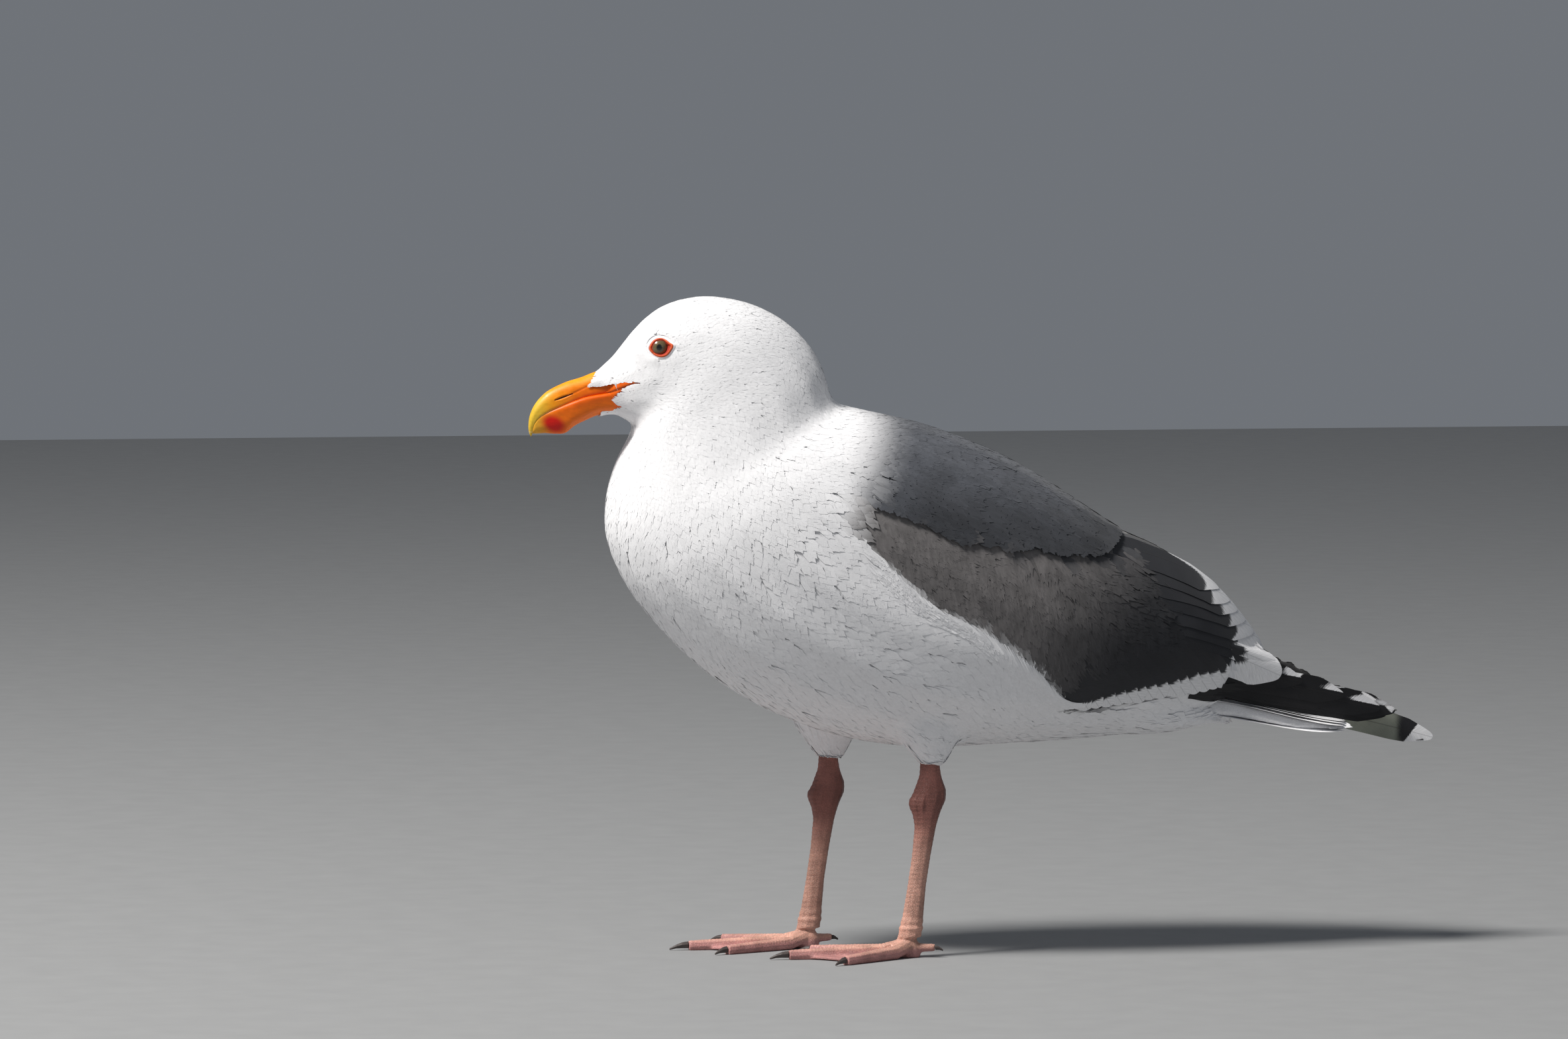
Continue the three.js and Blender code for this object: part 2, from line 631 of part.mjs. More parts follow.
// The web between two toes: a thin sheet whose front edge hangs back in a curve.
function web(ankle, side, first, second) {
  const reachOf = ({ length, angle }) =>
    toeDirection(side, angle).multiplyScalar(length * WEB.reach).add(ankle);
  const fromAbove = (point) => new THREE.Vector2(point.x, point.y);
  const [a, b] = [fromAbove(reachOf(first)), fromAbove(reachOf(second))];
  const hollow = a.clone().add(b).divideScalar(2).lerp(fromAbove(ankle), WEB.hollow);
  const sheet = new THREE.Shape();
  sheet.moveTo(ankle.x, ankle.y);
  sheet.lineTo(a.x, a.y);
  sheet.quadraticCurveTo(hollow.x, hollow.y, b.x, b.y);
  sheet.closePath();
  const options = { depth: WEB.thick, bevelEnabled: false, curveSegments: 6 };
  return solid(new THREE.ExtrudeGeometry(sheet, options)).translate([0, 0, WEB.low]);
}

const feet = {};
const claws = {};
const legs = {};
const thighs = {};
const aboveFloor = box([-FAR, -FAR, 0], [FAR, FAR, FAR]);
for (const [name, side] of Object.entries(SIDES)) {
  const ankle = new THREE.Vector3(LEG.heelX[name] + LEG.lean, side * LEG.out, 0);
  const pad = new THREE.SphereGeometry(1, 9, 6).scale(PAD.deep, PAD.wide, PAD.high);
  let foot = solid(pad).translate([ankle.x + PAD.back, ankle.y, PAD.up]);
  claws[name] = {};
  for (const [which, size] of Object.entries(TOES)) {
    const direction = toeDirection(side, size.angle);
    const hind = which === "hind";
    const start = ankle.clone().addScaledVector(direction, hind ? HIND_START : 0);
    const end = start.clone().addScaledVector(direction, size.length);
    const lift = hind ? HIND_LIFT : undefined;
    foot = foot.add(toe(start, direction, size, lift));
    claws[name][which] = claw(end, direction, size, lift);
  }
  foot = foot
    .add(web(ankle, side, TOES.inner, TOES.middle))
    .add(web(ankle, side, TOES.middle, TOES.outer));
  const legRoom = limb(name, LEG_SECTIONS, GAP).translate([0, 0, -GAP]);
  feet[name] = foot.intersect(aboveFloor).subtract(legRoom);
  legs[name] = limb(name, LEG_SECTIONS);
  thighs[name] = limb(name, THIGH).subtract(limb(name, LEG_SECTIONS, GAP)).subtract(wingRoom);
  for (const place of ["trunk", "rump"]) {
    body[place] = body[place].subtract(limb(name, THIGH, GAP));
  }
}

// ---------------------------------------------------------------- materials and assembly

const finish = (color, roughness) =>
  new THREE.MeshStandardMaterial({ color, roughness, metalness: 0 });
const materials = {
  whitePlumage: finish(0xf1f1ef, 0.9),
  greyPlumage: finish(0x55585f, 0.85),
  blackPlumage: finish(0x17171b, 0.7),
  bill: finish(0xf0920f, 0.4),
  eye: finish(0x6d5a3c, 0.1),
  eyelid: finish(0xe0582a, 0.55),
  legSkin: finish(0xd49a88, 0.6),
  claw: finish(0x2a2725, 0.35),
};

const gull = new THREE.Group();
function place(name, made, material) {
  const mesh = new THREE.Mesh(geometryOf(biggest(made)), material);
  mesh.name = name;
  gull.add(mesh);
}

for (const [name, made] of Object.entries(body)) place(name, made, materials.whitePlumage);
place("mantle", mantle, materials.greyPlumage);
place("tail", tail, materials.whitePlumage);
place("bill_upper", billUpper, materials.bill);
place("bill_lower", billLower, materials.bill);
for (const name of Object.keys(SIDES)) {
  place(`wing_${name}`, wing[name], materials.greyPlumage);
  place(`primaries_${name}`, primaries[name], materials.blackPlumage);
  place(`eye_${name}`, eyes[name], materials.eye);
  place(`eyelid_${name}`, eyelids[name], materials.eyelid);
  place(`thigh_${name}`, thighs[name], materials.whitePlumage);
  place(`leg_${name}`, legs[name], materials.legSkin);
  place(`foot_${name}`, feet[name], materials.legSkin);
  for (const [which, made] of Object.entries(claws[name])) {
    place(`claw_${name}_${which}`, made, materials.claw);
  }
}

// The origin is on the floor, below the middle of the whole bird.
const extent = new THREE.Box3().setFromObject(gull);
const middle = extent.getCenter(new THREE.Vector3());
gull.position.set(-middle.x, -middle.y, -extent.min.z);

export default gull;
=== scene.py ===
"""A life-size standing western gull in feather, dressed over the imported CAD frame.

All shapes are worked out in millimetres in the row frame and turned into metres
when a piece is made. The bird faces -x, and its left side (-y) is the near one.
"""
import math

import bmesh
import bpy
import numpy as np
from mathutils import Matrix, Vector
from mathutils.bvhtree import BVHTree


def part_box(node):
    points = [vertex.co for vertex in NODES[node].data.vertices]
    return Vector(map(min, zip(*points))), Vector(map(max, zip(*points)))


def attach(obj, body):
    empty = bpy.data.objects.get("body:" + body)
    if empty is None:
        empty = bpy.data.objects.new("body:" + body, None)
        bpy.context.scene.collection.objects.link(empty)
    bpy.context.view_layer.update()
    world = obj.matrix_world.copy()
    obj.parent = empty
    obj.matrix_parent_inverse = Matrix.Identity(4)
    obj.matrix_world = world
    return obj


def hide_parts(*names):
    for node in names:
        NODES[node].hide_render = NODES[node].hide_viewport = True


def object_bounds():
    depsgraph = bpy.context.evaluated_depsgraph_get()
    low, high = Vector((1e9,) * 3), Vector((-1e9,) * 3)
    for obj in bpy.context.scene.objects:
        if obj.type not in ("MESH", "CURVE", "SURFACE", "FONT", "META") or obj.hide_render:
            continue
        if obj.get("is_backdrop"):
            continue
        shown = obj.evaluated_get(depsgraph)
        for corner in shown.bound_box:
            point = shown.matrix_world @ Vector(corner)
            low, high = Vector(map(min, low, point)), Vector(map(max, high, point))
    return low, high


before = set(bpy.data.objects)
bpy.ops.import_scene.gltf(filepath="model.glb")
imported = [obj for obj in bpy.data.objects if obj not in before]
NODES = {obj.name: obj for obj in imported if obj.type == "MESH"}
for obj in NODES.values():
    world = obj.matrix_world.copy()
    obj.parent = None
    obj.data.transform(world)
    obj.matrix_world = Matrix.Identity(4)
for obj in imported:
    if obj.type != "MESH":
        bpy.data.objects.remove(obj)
CAD_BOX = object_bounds()

MM = 0.001
SEED = 20
LEFT, RIGHT = -1, 1
FLESH = ["head", "neck", "trunk", "rump", "mantle", "wing_left", "wing_right", "thigh_left", "thigh_right"]
LIMBS = ["leg_left", "leg_right", "foot_left", "foot_right"]


# ---------------------------------------------------------------- camera and studio

AZIMUTH, ELEVATION = math.radians(-12), math.radians(3.3)
DISTANCE = 5.0
LENS = 201.5
LOOK_AT = Vector((0, 0, 0.25))
AIM_LEFT, AIM_DOWN = 0.1157, 0.004
FAR_CLIP = 50
# each light's name, place and size in metres, power in watts and colour
LIGHTS = [("key", (-2.7, -1.0, 4.0), 1.2, 320, (1.0, 0.97, 0.93)),
          ("fill", (1.5, -3.5, 1.8), 2.5, 3, (0.92, 0.96, 1.0))]
LIGHTS_AIM = Vector((0, 0, 0.2))
SKY, SKY_STRENGTH = (0.80, 0.86, 0.95, 1), 0.2
FLOOR_HALF = 6.0
FLOOR_DARK, FLOOR_PALE = (0.27, 0.275, 0.28, 1), (0.31, 0.315, 0.32, 1)


def camera():
    """The photograph's viewing angle, from far off with a long lens."""
    back = Vector((math.sin(AZIMUTH) * math.cos(ELEVATION), -math.cos(AZIMUTH) * math.cos(ELEVATION),
                   math.sin(ELEVATION)))
    right = Vector((math.cos(AZIMUTH), math.sin(AZIMUTH), 0))
    aim = LOOK_AT - right * AIM_LEFT - back.cross(right) * AIM_DOWN
    place = LOOK_AT + back * DISTANCE
    data = bpy.data.cameras.new("camera")
    data.lens = LENS
    data.clip_end = FAR_CLIP
    made = bpy.data.objects.new("camera", data)
    made.location = place
    made.rotation_euler = (aim - place).to_track_quat("-Z", "Y").to_euler()
    bpy.context.scene.collection.objects.link(made)
    bpy.context.scene.camera = made


def area_light(name, place, size, power, colour):
    """A soft square light, aimed at the bird."""
    data = bpy.data.lights.new(name, "AREA")
    data.size = size
    data.energy = power
    data.color = colour
    made = bpy.data.objects.new(name, data)
    made.location = place
    made.rotation_euler = (LIGHTS_AIM - made.location).to_track_quat("-Z", "Y").to_euler()
    bpy.context.scene.collection.objects.link(made)


def studio():
    """Plain soft light, a pale sky and a plain pale floor."""
    for light in LIGHTS:
        area_light(*light)
    world = bpy.data.worlds.new("studio")
    bpy.context.scene.world = world
    world.use_nodes = True
    sky = world.node_tree.nodes["Background"]
    sky.inputs["Color"].default_value = SKY
    sky.inputs["Strength"].default_value = SKY_STRENGTH
    bpy.context.scene.view_settings.view_transform = "Standard"
    mesh = bpy.data.meshes.new("floor")
    corners = [(x * FLOOR_HALF, y * FLOOR_HALF, 0) for x, y in ((-1, -1), (1, -1), (1, 1), (-1, 1))]
    mesh.from_pydata(corners, [], [(0, 1, 2, 3)])
    floor = bpy.data.objects.new("floor", mesh)
    bpy.context.scene.collection.objects.link(floor)
    mesh.materials.append(floor_material())
    floor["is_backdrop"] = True


# ---------------------------------------------------------------- node materials

class Shader:
    """A small helper that builds one Principled material from nodes."""

    def __init__(self, name, **settings):
        self.material = bpy.data.materials.new(name)
        self.material.use_nodes = True
        self.nodes = self.material.node_tree.nodes
        self.links = self.material.node_tree.links
        self.principled = self.nodes["Principled BSDF"]
        for key, value in settings.items():
            self.principled.inputs[key.replace("_", " ").title().replace("Ior", "IOR")].default_value = value

    def add(self, kind, inputs=None, **settings):
        node = self.nodes.new(kind)
        for key, value in settings.items():
            setattr(node, key, value)
        for key, value in (inputs or {}).items():
            if isinstance(value, bpy.types.NodeSocket):
                self.links.new(value, node.inputs[key])
            else:
                node.inputs[key].default_value = value
        return node

    def place(self):
        return self.add("ShaderNodeTexCoord").outputs["Object"]

    def noise(self, vector, scale, detail=3.0, roughness=0.5):
        made = self.add("ShaderNodeTexNoise", {"Vector": vector, "Scale": scale, "Detail": detail,
                                               "Roughness": roughness})
        return made.outputs["Fac"]

    def fit(self, value, low, high, to_low, to_high):
        made = self.add("ShaderNodeMapRange", {"Value": value, "From Min": low, "From Max": high,
                                               "To Min": to_low, "To Max": to_high})
        return made.outputs["Result"]

    def math(self, operation, a, b=0.0):
        return self.add("ShaderNodeMath", {0: a, 1: b}, operation=operation).outputs[0]

    def product(self, a, b):
        return self.math("MULTIPLY", a, b)

    def vary(self, noise, low, high):
        """A noise, which keeps mostly between 0.3 and 0.7, stretched to run from low to high."""
        return self.fit(noise, 0.3, 0.7, low, high)

    def barbs(self, across, down, slant, wobble, count):
        """Ridges that slant off the shaft, count radians of them to the mm, made uneven by wobble."""
        slanted = self.math("SUBTRACT", down, self.product(self.math("ABSOLUTE", across), slant))
        return slanted, self.math("SINE", self.math("ADD", self.product(slanted, count), wobble))

    def times(self, colour, factor):
        """colour multiplied by a grey factor."""
        made = self.add("ShaderNodeVectorMath", {0: colour}, operation="SCALE")
        self.links.new(factor, made.inputs["Scale"])
        return made.outputs[0]

    def mix(self, factor, a, b):
        made = self.add("ShaderNodeMix", data_type="RGBA")
        for key, value in ((0, factor), (6, a), (7, b)):
            if isinstance(value, bpy.types.NodeSocket):
                self.links.new(value, made.inputs[key])
            else:
                made.inputs[key].default_value = value
        return made.outputs[2]

    def painted(self):
        return self.add("ShaderNodeAttribute", attribute_name="paint").outputs["Color"]

    def colour(self, value):
        self.links.new(value, self.principled.inputs["Base Color"])

    def roughness(self, value):
        self.links.new(value, self.principled.inputs["Roughness"])

    def bump(self, height, strength, distance):
        made = self.add("ShaderNodeBump", {"Height": height, "Strength": strength, "Distance": distance})
        self.links.new(made.outputs["Normal"], self.principled.inputs["Normal"])


def floor_material():
    """The floor's plain, faintly grained paper."""
    s = Shader("studio_floor", roughness=0.9)
    grain = s.noise(s.place(), 40)
    s.colour(s.mix(grain, FLOOR_DARK, FLOOR_PALE))
    return s.material


# radians of barb ridges to the mm, on small feathers and on large ones
FEATHER_BARBS, QUILL_BARBS = 9, 7
SHAFT_DARK = (0.02, 0.018, 0.017, 1)


def feather_material(name, sheen, roughness, drifts, grain, slope):
    """Feather: its painted colour, mottled by drifts, with fine barbs that slant off each shaft, and strokes
    of strength grain that run down the lie, slope radians off upright."""
    s = Shader(name, roughness=roughness, sheen_weight=sheen, sheen_roughness=0.6, specular_ior_level=0.25)
    vane = s.add("ShaderNodeUVMap", uv_map="Vane").outputs["UV"]
    parts = s.add("ShaderNodeSeparateXYZ", {"Vector": vane})
    wobble = s.product(s.noise(s.place(), 300, 2), 5.0)
    _, ridge = s.barbs(parts.outputs["X"], parts.outputs["Y"], 0.9, wobble, FEATHER_BARBS)
    mottle = s.noise(s.place(), 700, 4, 0.65)
    drift = s.noise(s.place(), 60, 4, 0.6)
    shade = s.product(s.vary(mottle, 0.95, 1.03), s.fit(ridge, -1, 1, 0.98, 1.02))
    turned = s.add("ShaderNodeVectorRotate", {"Vector": s.place(), "Angle": slope}, rotation_type="Y_AXIS")
    drawn = s.add("ShaderNodeMapping", {"Vector": turned.outputs[0], "Scale": (1.0, 1.0, 0.13)}).outputs[0]
    stroke = s.vary(s.noise(drawn, 520, 4, 0.6), 1 - grain, 1 + grain)
    shade = s.product(shade, stroke)
    s.colour(s.times(s.painted(), s.product(shade, s.vary(drift, 1 - drifts, 1 + drifts))))
    s.bump(s.math("ADD", s.product(ridge, 0.25), mottle), 0.2, 0.0002)
    return s.material


def quill_material(name, roughness):
    """Large feathers: the painted web, with a white mark where the paint's fourth channel is high."""
    s = Shader(name, roughness=roughness, sheen_weight=0.06, sheen_roughness=0.5, specular_ior_level=0.3)
    paint = s.add("ShaderNodeAttribute", attribute_name="paint")
    parts = s.add("ShaderNodeSeparateXYZ", {"Vector": s.add("ShaderNodeUVMap", uv_map="Vane").outputs["UV"]})
    across = parts.outputs["X"]
    wobble = s.product(s.noise(s.place(), 120, 3), 7.0)
    slanted, ridge = s.barbs(across, parts.outputs["Y"], 0.8, wobble, QUILL_BARBS)
    barb = s.add("ShaderNodeCombineXYZ", {"X": slanted, "Y": s.product(across, 0.12)})
    streak = s.noise(barb.outputs[0], 1.6, 3, 0.6)
    shaft = s.fit(s.math("ABSOLUTE", across), 0.15, 0.5, 1.0, 0.0)
    edge = s.math("ADD", paint.outputs["Alpha"], s.product(s.math("SUBTRACT", streak, 0.5), 0.22))
    mark = s.fit(edge, 0.47, 0.53, 0.0, 1.0)
    web = s.times(paint.outputs["Color"], s.vary(s.noise(s.place(), 55, 4, 0.6), 0.86, 1.16))
    web = s.mix(s.product(shaft, 0.35), web, SHAFT_DARK)
    white = s.times(s.mix(shaft, (*TIP_WHITE, 1), (*(TIP_WHITE * 0.8), 1)), s.vary(streak, 0.93, 1.03))
    shade = s.product(s.fit(ridge, -1, 1, 0.98, 1.01), s.fit(streak, 0.25, 0.75, 0.9, 1.1))
    s.colour(s.times(s.mix(mark, web, white), shade))
    s.bump(s.math("ADD", s.product(ridge, 0.25), s.product(shaft, 1.2)), 0.2, 0.0002)
    return s.material


def leg_material():
    """Scaly leg skin: the painted flesh tone and painted shade with plates, and a fine net of scales."""
    s = Shader("leg_scales", roughness=0.5, specular_ior_level=0.4, subsurface_weight=0.08,
               subsurface_radius=(0.004, 0.0015, 0.001))
    net = s.add("ShaderNodeTexVoronoi", {"Vector": s.place(), "Scale": 750.0}, feature="DISTANCE_TO_EDGE")
    seam = s.fit(net.outputs["Distance"], 0.0, 0.12, 0.0, 1.0)
    stain = s.fit(s.noise(s.place(), 90, 5, 0.6), 0.35, 0.65, 0.72, 1.12)
    s.colour(s.times(s.painted(), s.product(stain, s.fit(seam, 0, 1, 0.8, 1.0))))
    s.roughness(s.vary(s.noise(s.place(), 200, 3), 0.38, 0.6))
    s.bump(seam, 0.5, 0.0003)
    return s.material


def horn_material(name, roughness, coat):
    """Bill and claws: painted horn with fine growth lines and worn, duller spots."""
    s = Shader(name, roughness=roughness, specular_ior_level=0.35, coat_weight=coat, coat_roughness=0.25,
               subsurface_weight=0.05, subsurface_radius=(0.003, 0.0012, 0.0006))
    streak = s.add("ShaderNodeMapping", {"Vector": s.place(), "Scale": (0.25, 1.0, 1.0)}).outputs[0]
    lines = s.noise(streak, 900, 3)
    worn = s.noise(s.place(), 260, 4, 0.6)
    s.colour(s.times(s.painted(), s.product(s.vary(lines, 0.94, 1.05), s.fit(worn, 0.3, 0.75, 0.92, 1.06))))
    s.roughness(s.vary(worn, roughness - 0.08, roughness + 0.15))
    s.bump(s.math("ADD", lines, worn), 0.25, 0.0002)
    return s.material


def eye_material():
    """A wet, glossy eyeball with a flecked iris."""
    s = Shader("eye_gloss", roughness=0.25, coat_weight=0.7, coat_roughness=0.02, specular_ior_level=0.6)
    fleck = s.noise(s.place(), 2500, 3)
    s.colour(s.times(s.painted(), s.vary(fleck, 0.75, 1.2)))
    s.bump(fleck, 0.05, 0.0001)
    return s.material


def lid_material():
    """The fine-grained bare skin of the orbital ring."""
    s = Shader("orbital_skin", roughness=0.55, specular_ior_level=0.4, subsurface_weight=0.1,
               subsurface_radius=(0.002, 0.0008, 0.0005))
    grain = s.noise(s.place(), 1800, 3, 0.6)
    s.colour(s.times(s.painted(), s.vary(grain, 0.85, 1.1)))
    s.bump(grain, 0.4, 0.0003)
    return s.material


def down_material():
    """The skin under the coat: the same markings and painted shade, matt and finely downy."""
    s = Shader("downy_skin", roughness=0.95, sheen_weight=0.2, sheen_roughness=0.7)
    down = s.noise(s.place(), 900, 4, 0.7)
    s.colour(s.times(s.painted(), s.vary(down, 0.85, 1.03)))
    s.bump(down, 0.5, 0.0004)
    return s.material


# ---------------------------------------------------------------- mesh helpers

def linear(*srgb):
    """A colour from 0-255 sRGB numbers."""
    c = np.array(srgb, float) / 255
    return np.where(c <= 0.04045, c / 12.92, ((c + 0.055) / 1.055) ** 2.4)


def unit(v):
    """Vectors scaled to length 1."""
    return v / np.maximum(np.linalg.norm(v, axis=-1, keepdims=True), 1e-9)


def smooth_step(low, high, value):
    """0 at low and 1 at high, with a soft start and end. high may be the smaller."""
    t = np.clip((np.asarray(value, float) - low) / (high - low), 0, 1)
    return t * t * (3 - 2 * t)


def tint(colour, other, share):
    """colour where share is 0 and other where it is 1."""
    share = share[..., None]
    return colour * (1 - share) + other * share


def halves(a, b, c, d):
    """Two triangles for each four-sided face with corners a, b, c and d."""
    return np.r_[np.stack([a, b, c], -1).reshape(-1, 3), np.stack([a, c, d], -1).reshape(-1, 3)]


def ring_corners(rings, sides, closed=False):
    """The corners of the faces between rings of sides points. closed joins the last ring to the first."""
    k, j = np.meshgrid(np.arange(rings if closed else rings - 1), np.arange(sides), indexing="ij")
    near, far, beside = k * sides, (k + 1) % rings * sides, (j + 1) % sides
    return near + j, near + beside, far + beside, far + j


def facing_out(verts, tris, middle):
    """The triangles of a closed mesh turned to face away from middle, one place or one for each triangle."""
    p, q, r = verts[tris[:, 0]], verts[tris[:, 1]], verts[tris[:, 2]]
    volume = (np.cross(q - p, r - p) * (p - middle)).sum()
    return tris if volume > 0 else tris[:, ::-1]


def make_piece(name, verts, tris, materials, paint, replaced=(), maps=None, face_slot=None,
               shading=None):
    """A mesh piece on the one body, from points in mm, with its paint (3 or 4 channels) and shading normals."""
    mesh = bpy.data.meshes.new(name)
    verts, tris = np.asarray(verts, float), np.asarray(tris, np.int32)
    mesh.vertices.add(len(verts))
    mesh.vertices.foreach_set("co", (verts * MM).astype(np.float32).ravel())
    mesh.loops.add(tris.size)
    mesh.loops.foreach_set("vertex_index", tris.ravel())
    mesh.polygons.add(len(tris))
    mesh.polygons.foreach_set("loop_start", np.arange(len(tris), dtype=np.int32) * 3)
    mesh.polygons.foreach_set("use_smooth", np.ones(len(tris), bool))
    mesh.update(calc_edges=True)
    for key, uv in (maps or {}).items():
        layer = mesh.uv_layers.new(name=key)
        layer.uv.foreach_set("vector", np.asarray(uv)[tris.ravel()].astype(np.float32).ravel())
    layer = mesh.color_attributes.new(name="paint", type="FLOAT_COLOR", domain="POINT")
    if paint.shape[1] == 3:
        paint = np.c_[paint, np.zeros(len(verts))]
    layer.data.foreach_set("color", np.clip(paint, 0, 1).astype(np.float32).ravel())
    for material in materials:
        mesh.materials.append(material)
    if face_slot is not None:
        mesh.polygons.foreach_set("material_index", np.asarray(face_slot, np.int32))
    if shading is not None:
        mesh.normals_split_custom_set(shading.astype(np.float32))
    obj = bpy.data.objects.new(name, mesh)
    bpy.context.scene.collection.objects.link(obj)
    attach(obj, "root")
    if replaced:
        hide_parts(*replaced)


def remeshed(nodes, voxel, grow, rounds):
    """One even, smoothed mesh over CAD nodes, as points in mm and triangles. Growing them closes their gaps."""
    bm = bmesh.new()
    for node in nodes:
        bm.from_mesh(NODES[node].data)
    bmesh.ops.remove_doubles(bm, verts=bm.verts, dist=1e-6)
    bm.normal_update()
    for v in bm.verts:
        v.co += v.normal * grow * MM
    mesh = bpy.data.meshes.new("work")
    bm.to_mesh(mesh)
    bm.free()
    obj = bpy.data.objects.new("work", mesh)
    bpy.context.scene.collection.objects.link(obj)
    even = obj.modifiers.new("even", "REMESH")
    even.mode = "VOXEL"
    even.voxel_size = voxel * MM
    soften = obj.modifiers.new("soften", "SMOOTH")
    soften.factor = 0.5
    soften.iterations = rounds
    cut = obj.modifiers.new("cut", "TRIANGULATE")
    cut.quad_method = "FIXED"
    done = obj.evaluated_get(bpy.context.evaluated_depsgraph_get()).to_mesh()
    verts = np.zeros(len(done.vertices) * 3, np.float32)
    done.vertices.foreach_get("co", verts)
    tris = np.zeros(len(done.loops), np.int32)
    done.loops.foreach_get("vertex_index", tris)
    bpy.data.objects.remove(obj)
    bpy.data.meshes.remove(mesh)
    return largest(verts.reshape(-1, 3).astype(float) / MM, tris.reshape(-1, 3))


SMALLEST_ISLAND = 0.05


def largest(verts, tris):
    """Drops islands far smaller than the rest, such as bubbles inside."""
    label = np.arange(len(verts))
    edges = np.r_[tris[:, :2], tris[:, 1:]]
    while True:
        low = np.minimum(label[edges[:, 0]], label[edges[:, 1]])
        new = label.copy()
        np.minimum.at(new, edges[:, 0], low)
        np.minimum.at(new, edges[:, 1], low)
        new = new[new]
        if (new == label).all():
            break
        label = new
    names, counts = np.unique(label, return_counts=True)
    kept = names[counts > SMALLEST_ISLAND * counts.max()]
    keep = np.isin(label, kept)
    index = np.cumsum(keep) - 1
    return verts[keep], index[tris[keep[tris[:, 0]]]]


def vertex_normals(verts, tris):
    """Smooth normals, weighted by the area of each triangle."""
    a, b, c = verts[tris[:, 0]], verts[tris[:, 1]], verts[tris[:, 2]]
    face = np.cross(b - a, c - a)
    total = np.zeros_like(verts)
    for k in range(3):
        np.add.at(total, tris[:, k], face)
    return unit(total)


FAR_OUT = 300.0  # a distance in mm that is clear of the bird


class Surface:
    """Points in mm and triangles, with quick answers on the nearest place and the first place a ray meets."""

    def __init__(self, verts, tris):
        self.verts, self.tris = verts, tris
        self.normals = vertex_normals(verts, tris)
        self.tree = BVHTree.FromPolygons(verts.tolist(), tris.tolist())

    def nearest(self, points):
        """The nearest places on the surface, and its smooth normals there."""
        found = [self.tree.find_nearest(p) for p in np.asarray(points, float).reshape(-1, 3).tolist()]
        place = np.array([f[0] for f in found])
        face = np.array([f[2] for f in found])
        corners = self.verts[self.tris[face]]
        weights = 1 / (np.linalg.norm(corners - place[:, None], axis=2) + 0.05)
        normal = unit((self.normals[self.tris[face]] * weights[..., None]).sum(1))
        return place.reshape(np.shape(points)), normal.reshape(np.shape(points))

    def distance(self, points):
        """How far each point is from the surface."""
        return np.array([self.tree.find_nearest(p)[3] for p in np.asarray(points, float).tolist()])

    def meet(self, points, toward):
        """Each point moved along toward, from outside, until it meets the surface, or to its nearest place."""
        out = []
        for p in np.asarray(points, float):
            hit = self.tree.ray_cast((p - toward * FAR_OUT).tolist(), toward.tolist())
            out.append(hit[0] if hit[0] is not None else self.tree.find_nearest(p.tolist())[0])
        return np.array(out)

    def thickness(self, most):
        """How deep the body is under each vertex, up to most."""
        out = np.full(len(self.verts), most)
        starts = self.verts - self.normals * 0.05
        for i, (p, n) in enumerate(zip(starts.tolist(), (-self.normals).tolist())):
            hit = self.tree.ray_cast(p, n, most)
            if hit[0] is not None:
                out[i] = hit[3]
        return out

    def scatter(self, count, rng):
        """Even random places on the surface."""
        a, b, c = (self.verts[self.tris[:, k]] for k in range(3))
        area = np.linalg.norm(np.cross(b - a, c - a), axis=1)
        face = rng.choice(len(area), count, p=area / area.sum())
        s, t = rng.random(count), rng.random(count)
        flip = s + t > 1
        s[flip], t[flip] = 1 - s[flip], 1 - t[flip]
        return a[face] + (b - a)[face] * s[:, None] + (c - a)[face] * t[:, None]


def node_surface(*names):
    """CAD nodes as one surface."""
    verts, tris, start = [], [], 0
    for name in names:
        mesh = NODES[name].data
        co = np.array([v.co for v in mesh.vertices], float) / MM
        mesh.calc_loop_triangles()
        tris.append(np.array([t.vertices for t in mesh.loop_triangles]) + start)
        verts.append(co)
        start += len(co)
    return Surface(np.concatenate(verts), np.concatenate(tris))


# ---------------------------------------------------------------- lines and outlines

def inside(points, polygon):
    """Which points lie inside a polygon of the side view."""
    x, z = points[:, 0], points[:, 2]
    odd = np.zeros(len(points), bool)
    for (x1, z1), (x2, z2) in zip(polygon, np.roll(polygon, -1, axis=0)):
        crosses = (z1 > z) != (z2 > z)
        odd ^= crosses & (x < x1 + (z - z1) * (x2 - x1) / (z2 - z1 + 1e-9))
    return odd


def segment_gap(flat, a, b):
    """How far along a to b each point is, from 0 to 1, and its distance from the line."""
    way = b - a
    t = np.clip((flat - a) @ way / (way @ way), 0, 1)
    return t, np.linalg.norm(flat - a - t[:, None] * way, axis=1)


def broken_line_gap(flat, line):
    """How far each point (x, z) is from a broken line."""
    return np.min([segment_gap(flat, a, b)[1] for a, b in zip(line[:-1], line[1:])], axis=0)


def spread_between(places, count):
    """count points at even steps along a broken line."""
    places = np.asarray(places, float)
    steps = np.r_[0, np.cumsum(np.linalg.norm(np.diff(places, axis=0), axis=1))]
    at = np.linspace(0, steps[-1], count)
    return np.stack([np.interp(at, steps, places[:, k]) for k in range(places.shape[1])], 1)


def smooth_curve(points, count):
    """count places on a smooth curve (Catmull-Rom) through the points."""
    ends = np.r_[[2 * points[0] - points[1]], points, [2 * points[-1] - points[-2]]]
    at = np.linspace(0, len(points) - 1 - 1e-9, count)
    k, t = at.astype(int), (at % 1)[:, None]
    a, b, c, d = ends[k], ends[k + 1], ends[k + 2], ends[k + 3]
    square, cube = (2 * a - 5 * b + 4 * c - d) * t ** 2, (3 * b - a - 3 * c + d) * t ** 3
    return 0.5 * (2 * b + (c - a) * t + square + cube)


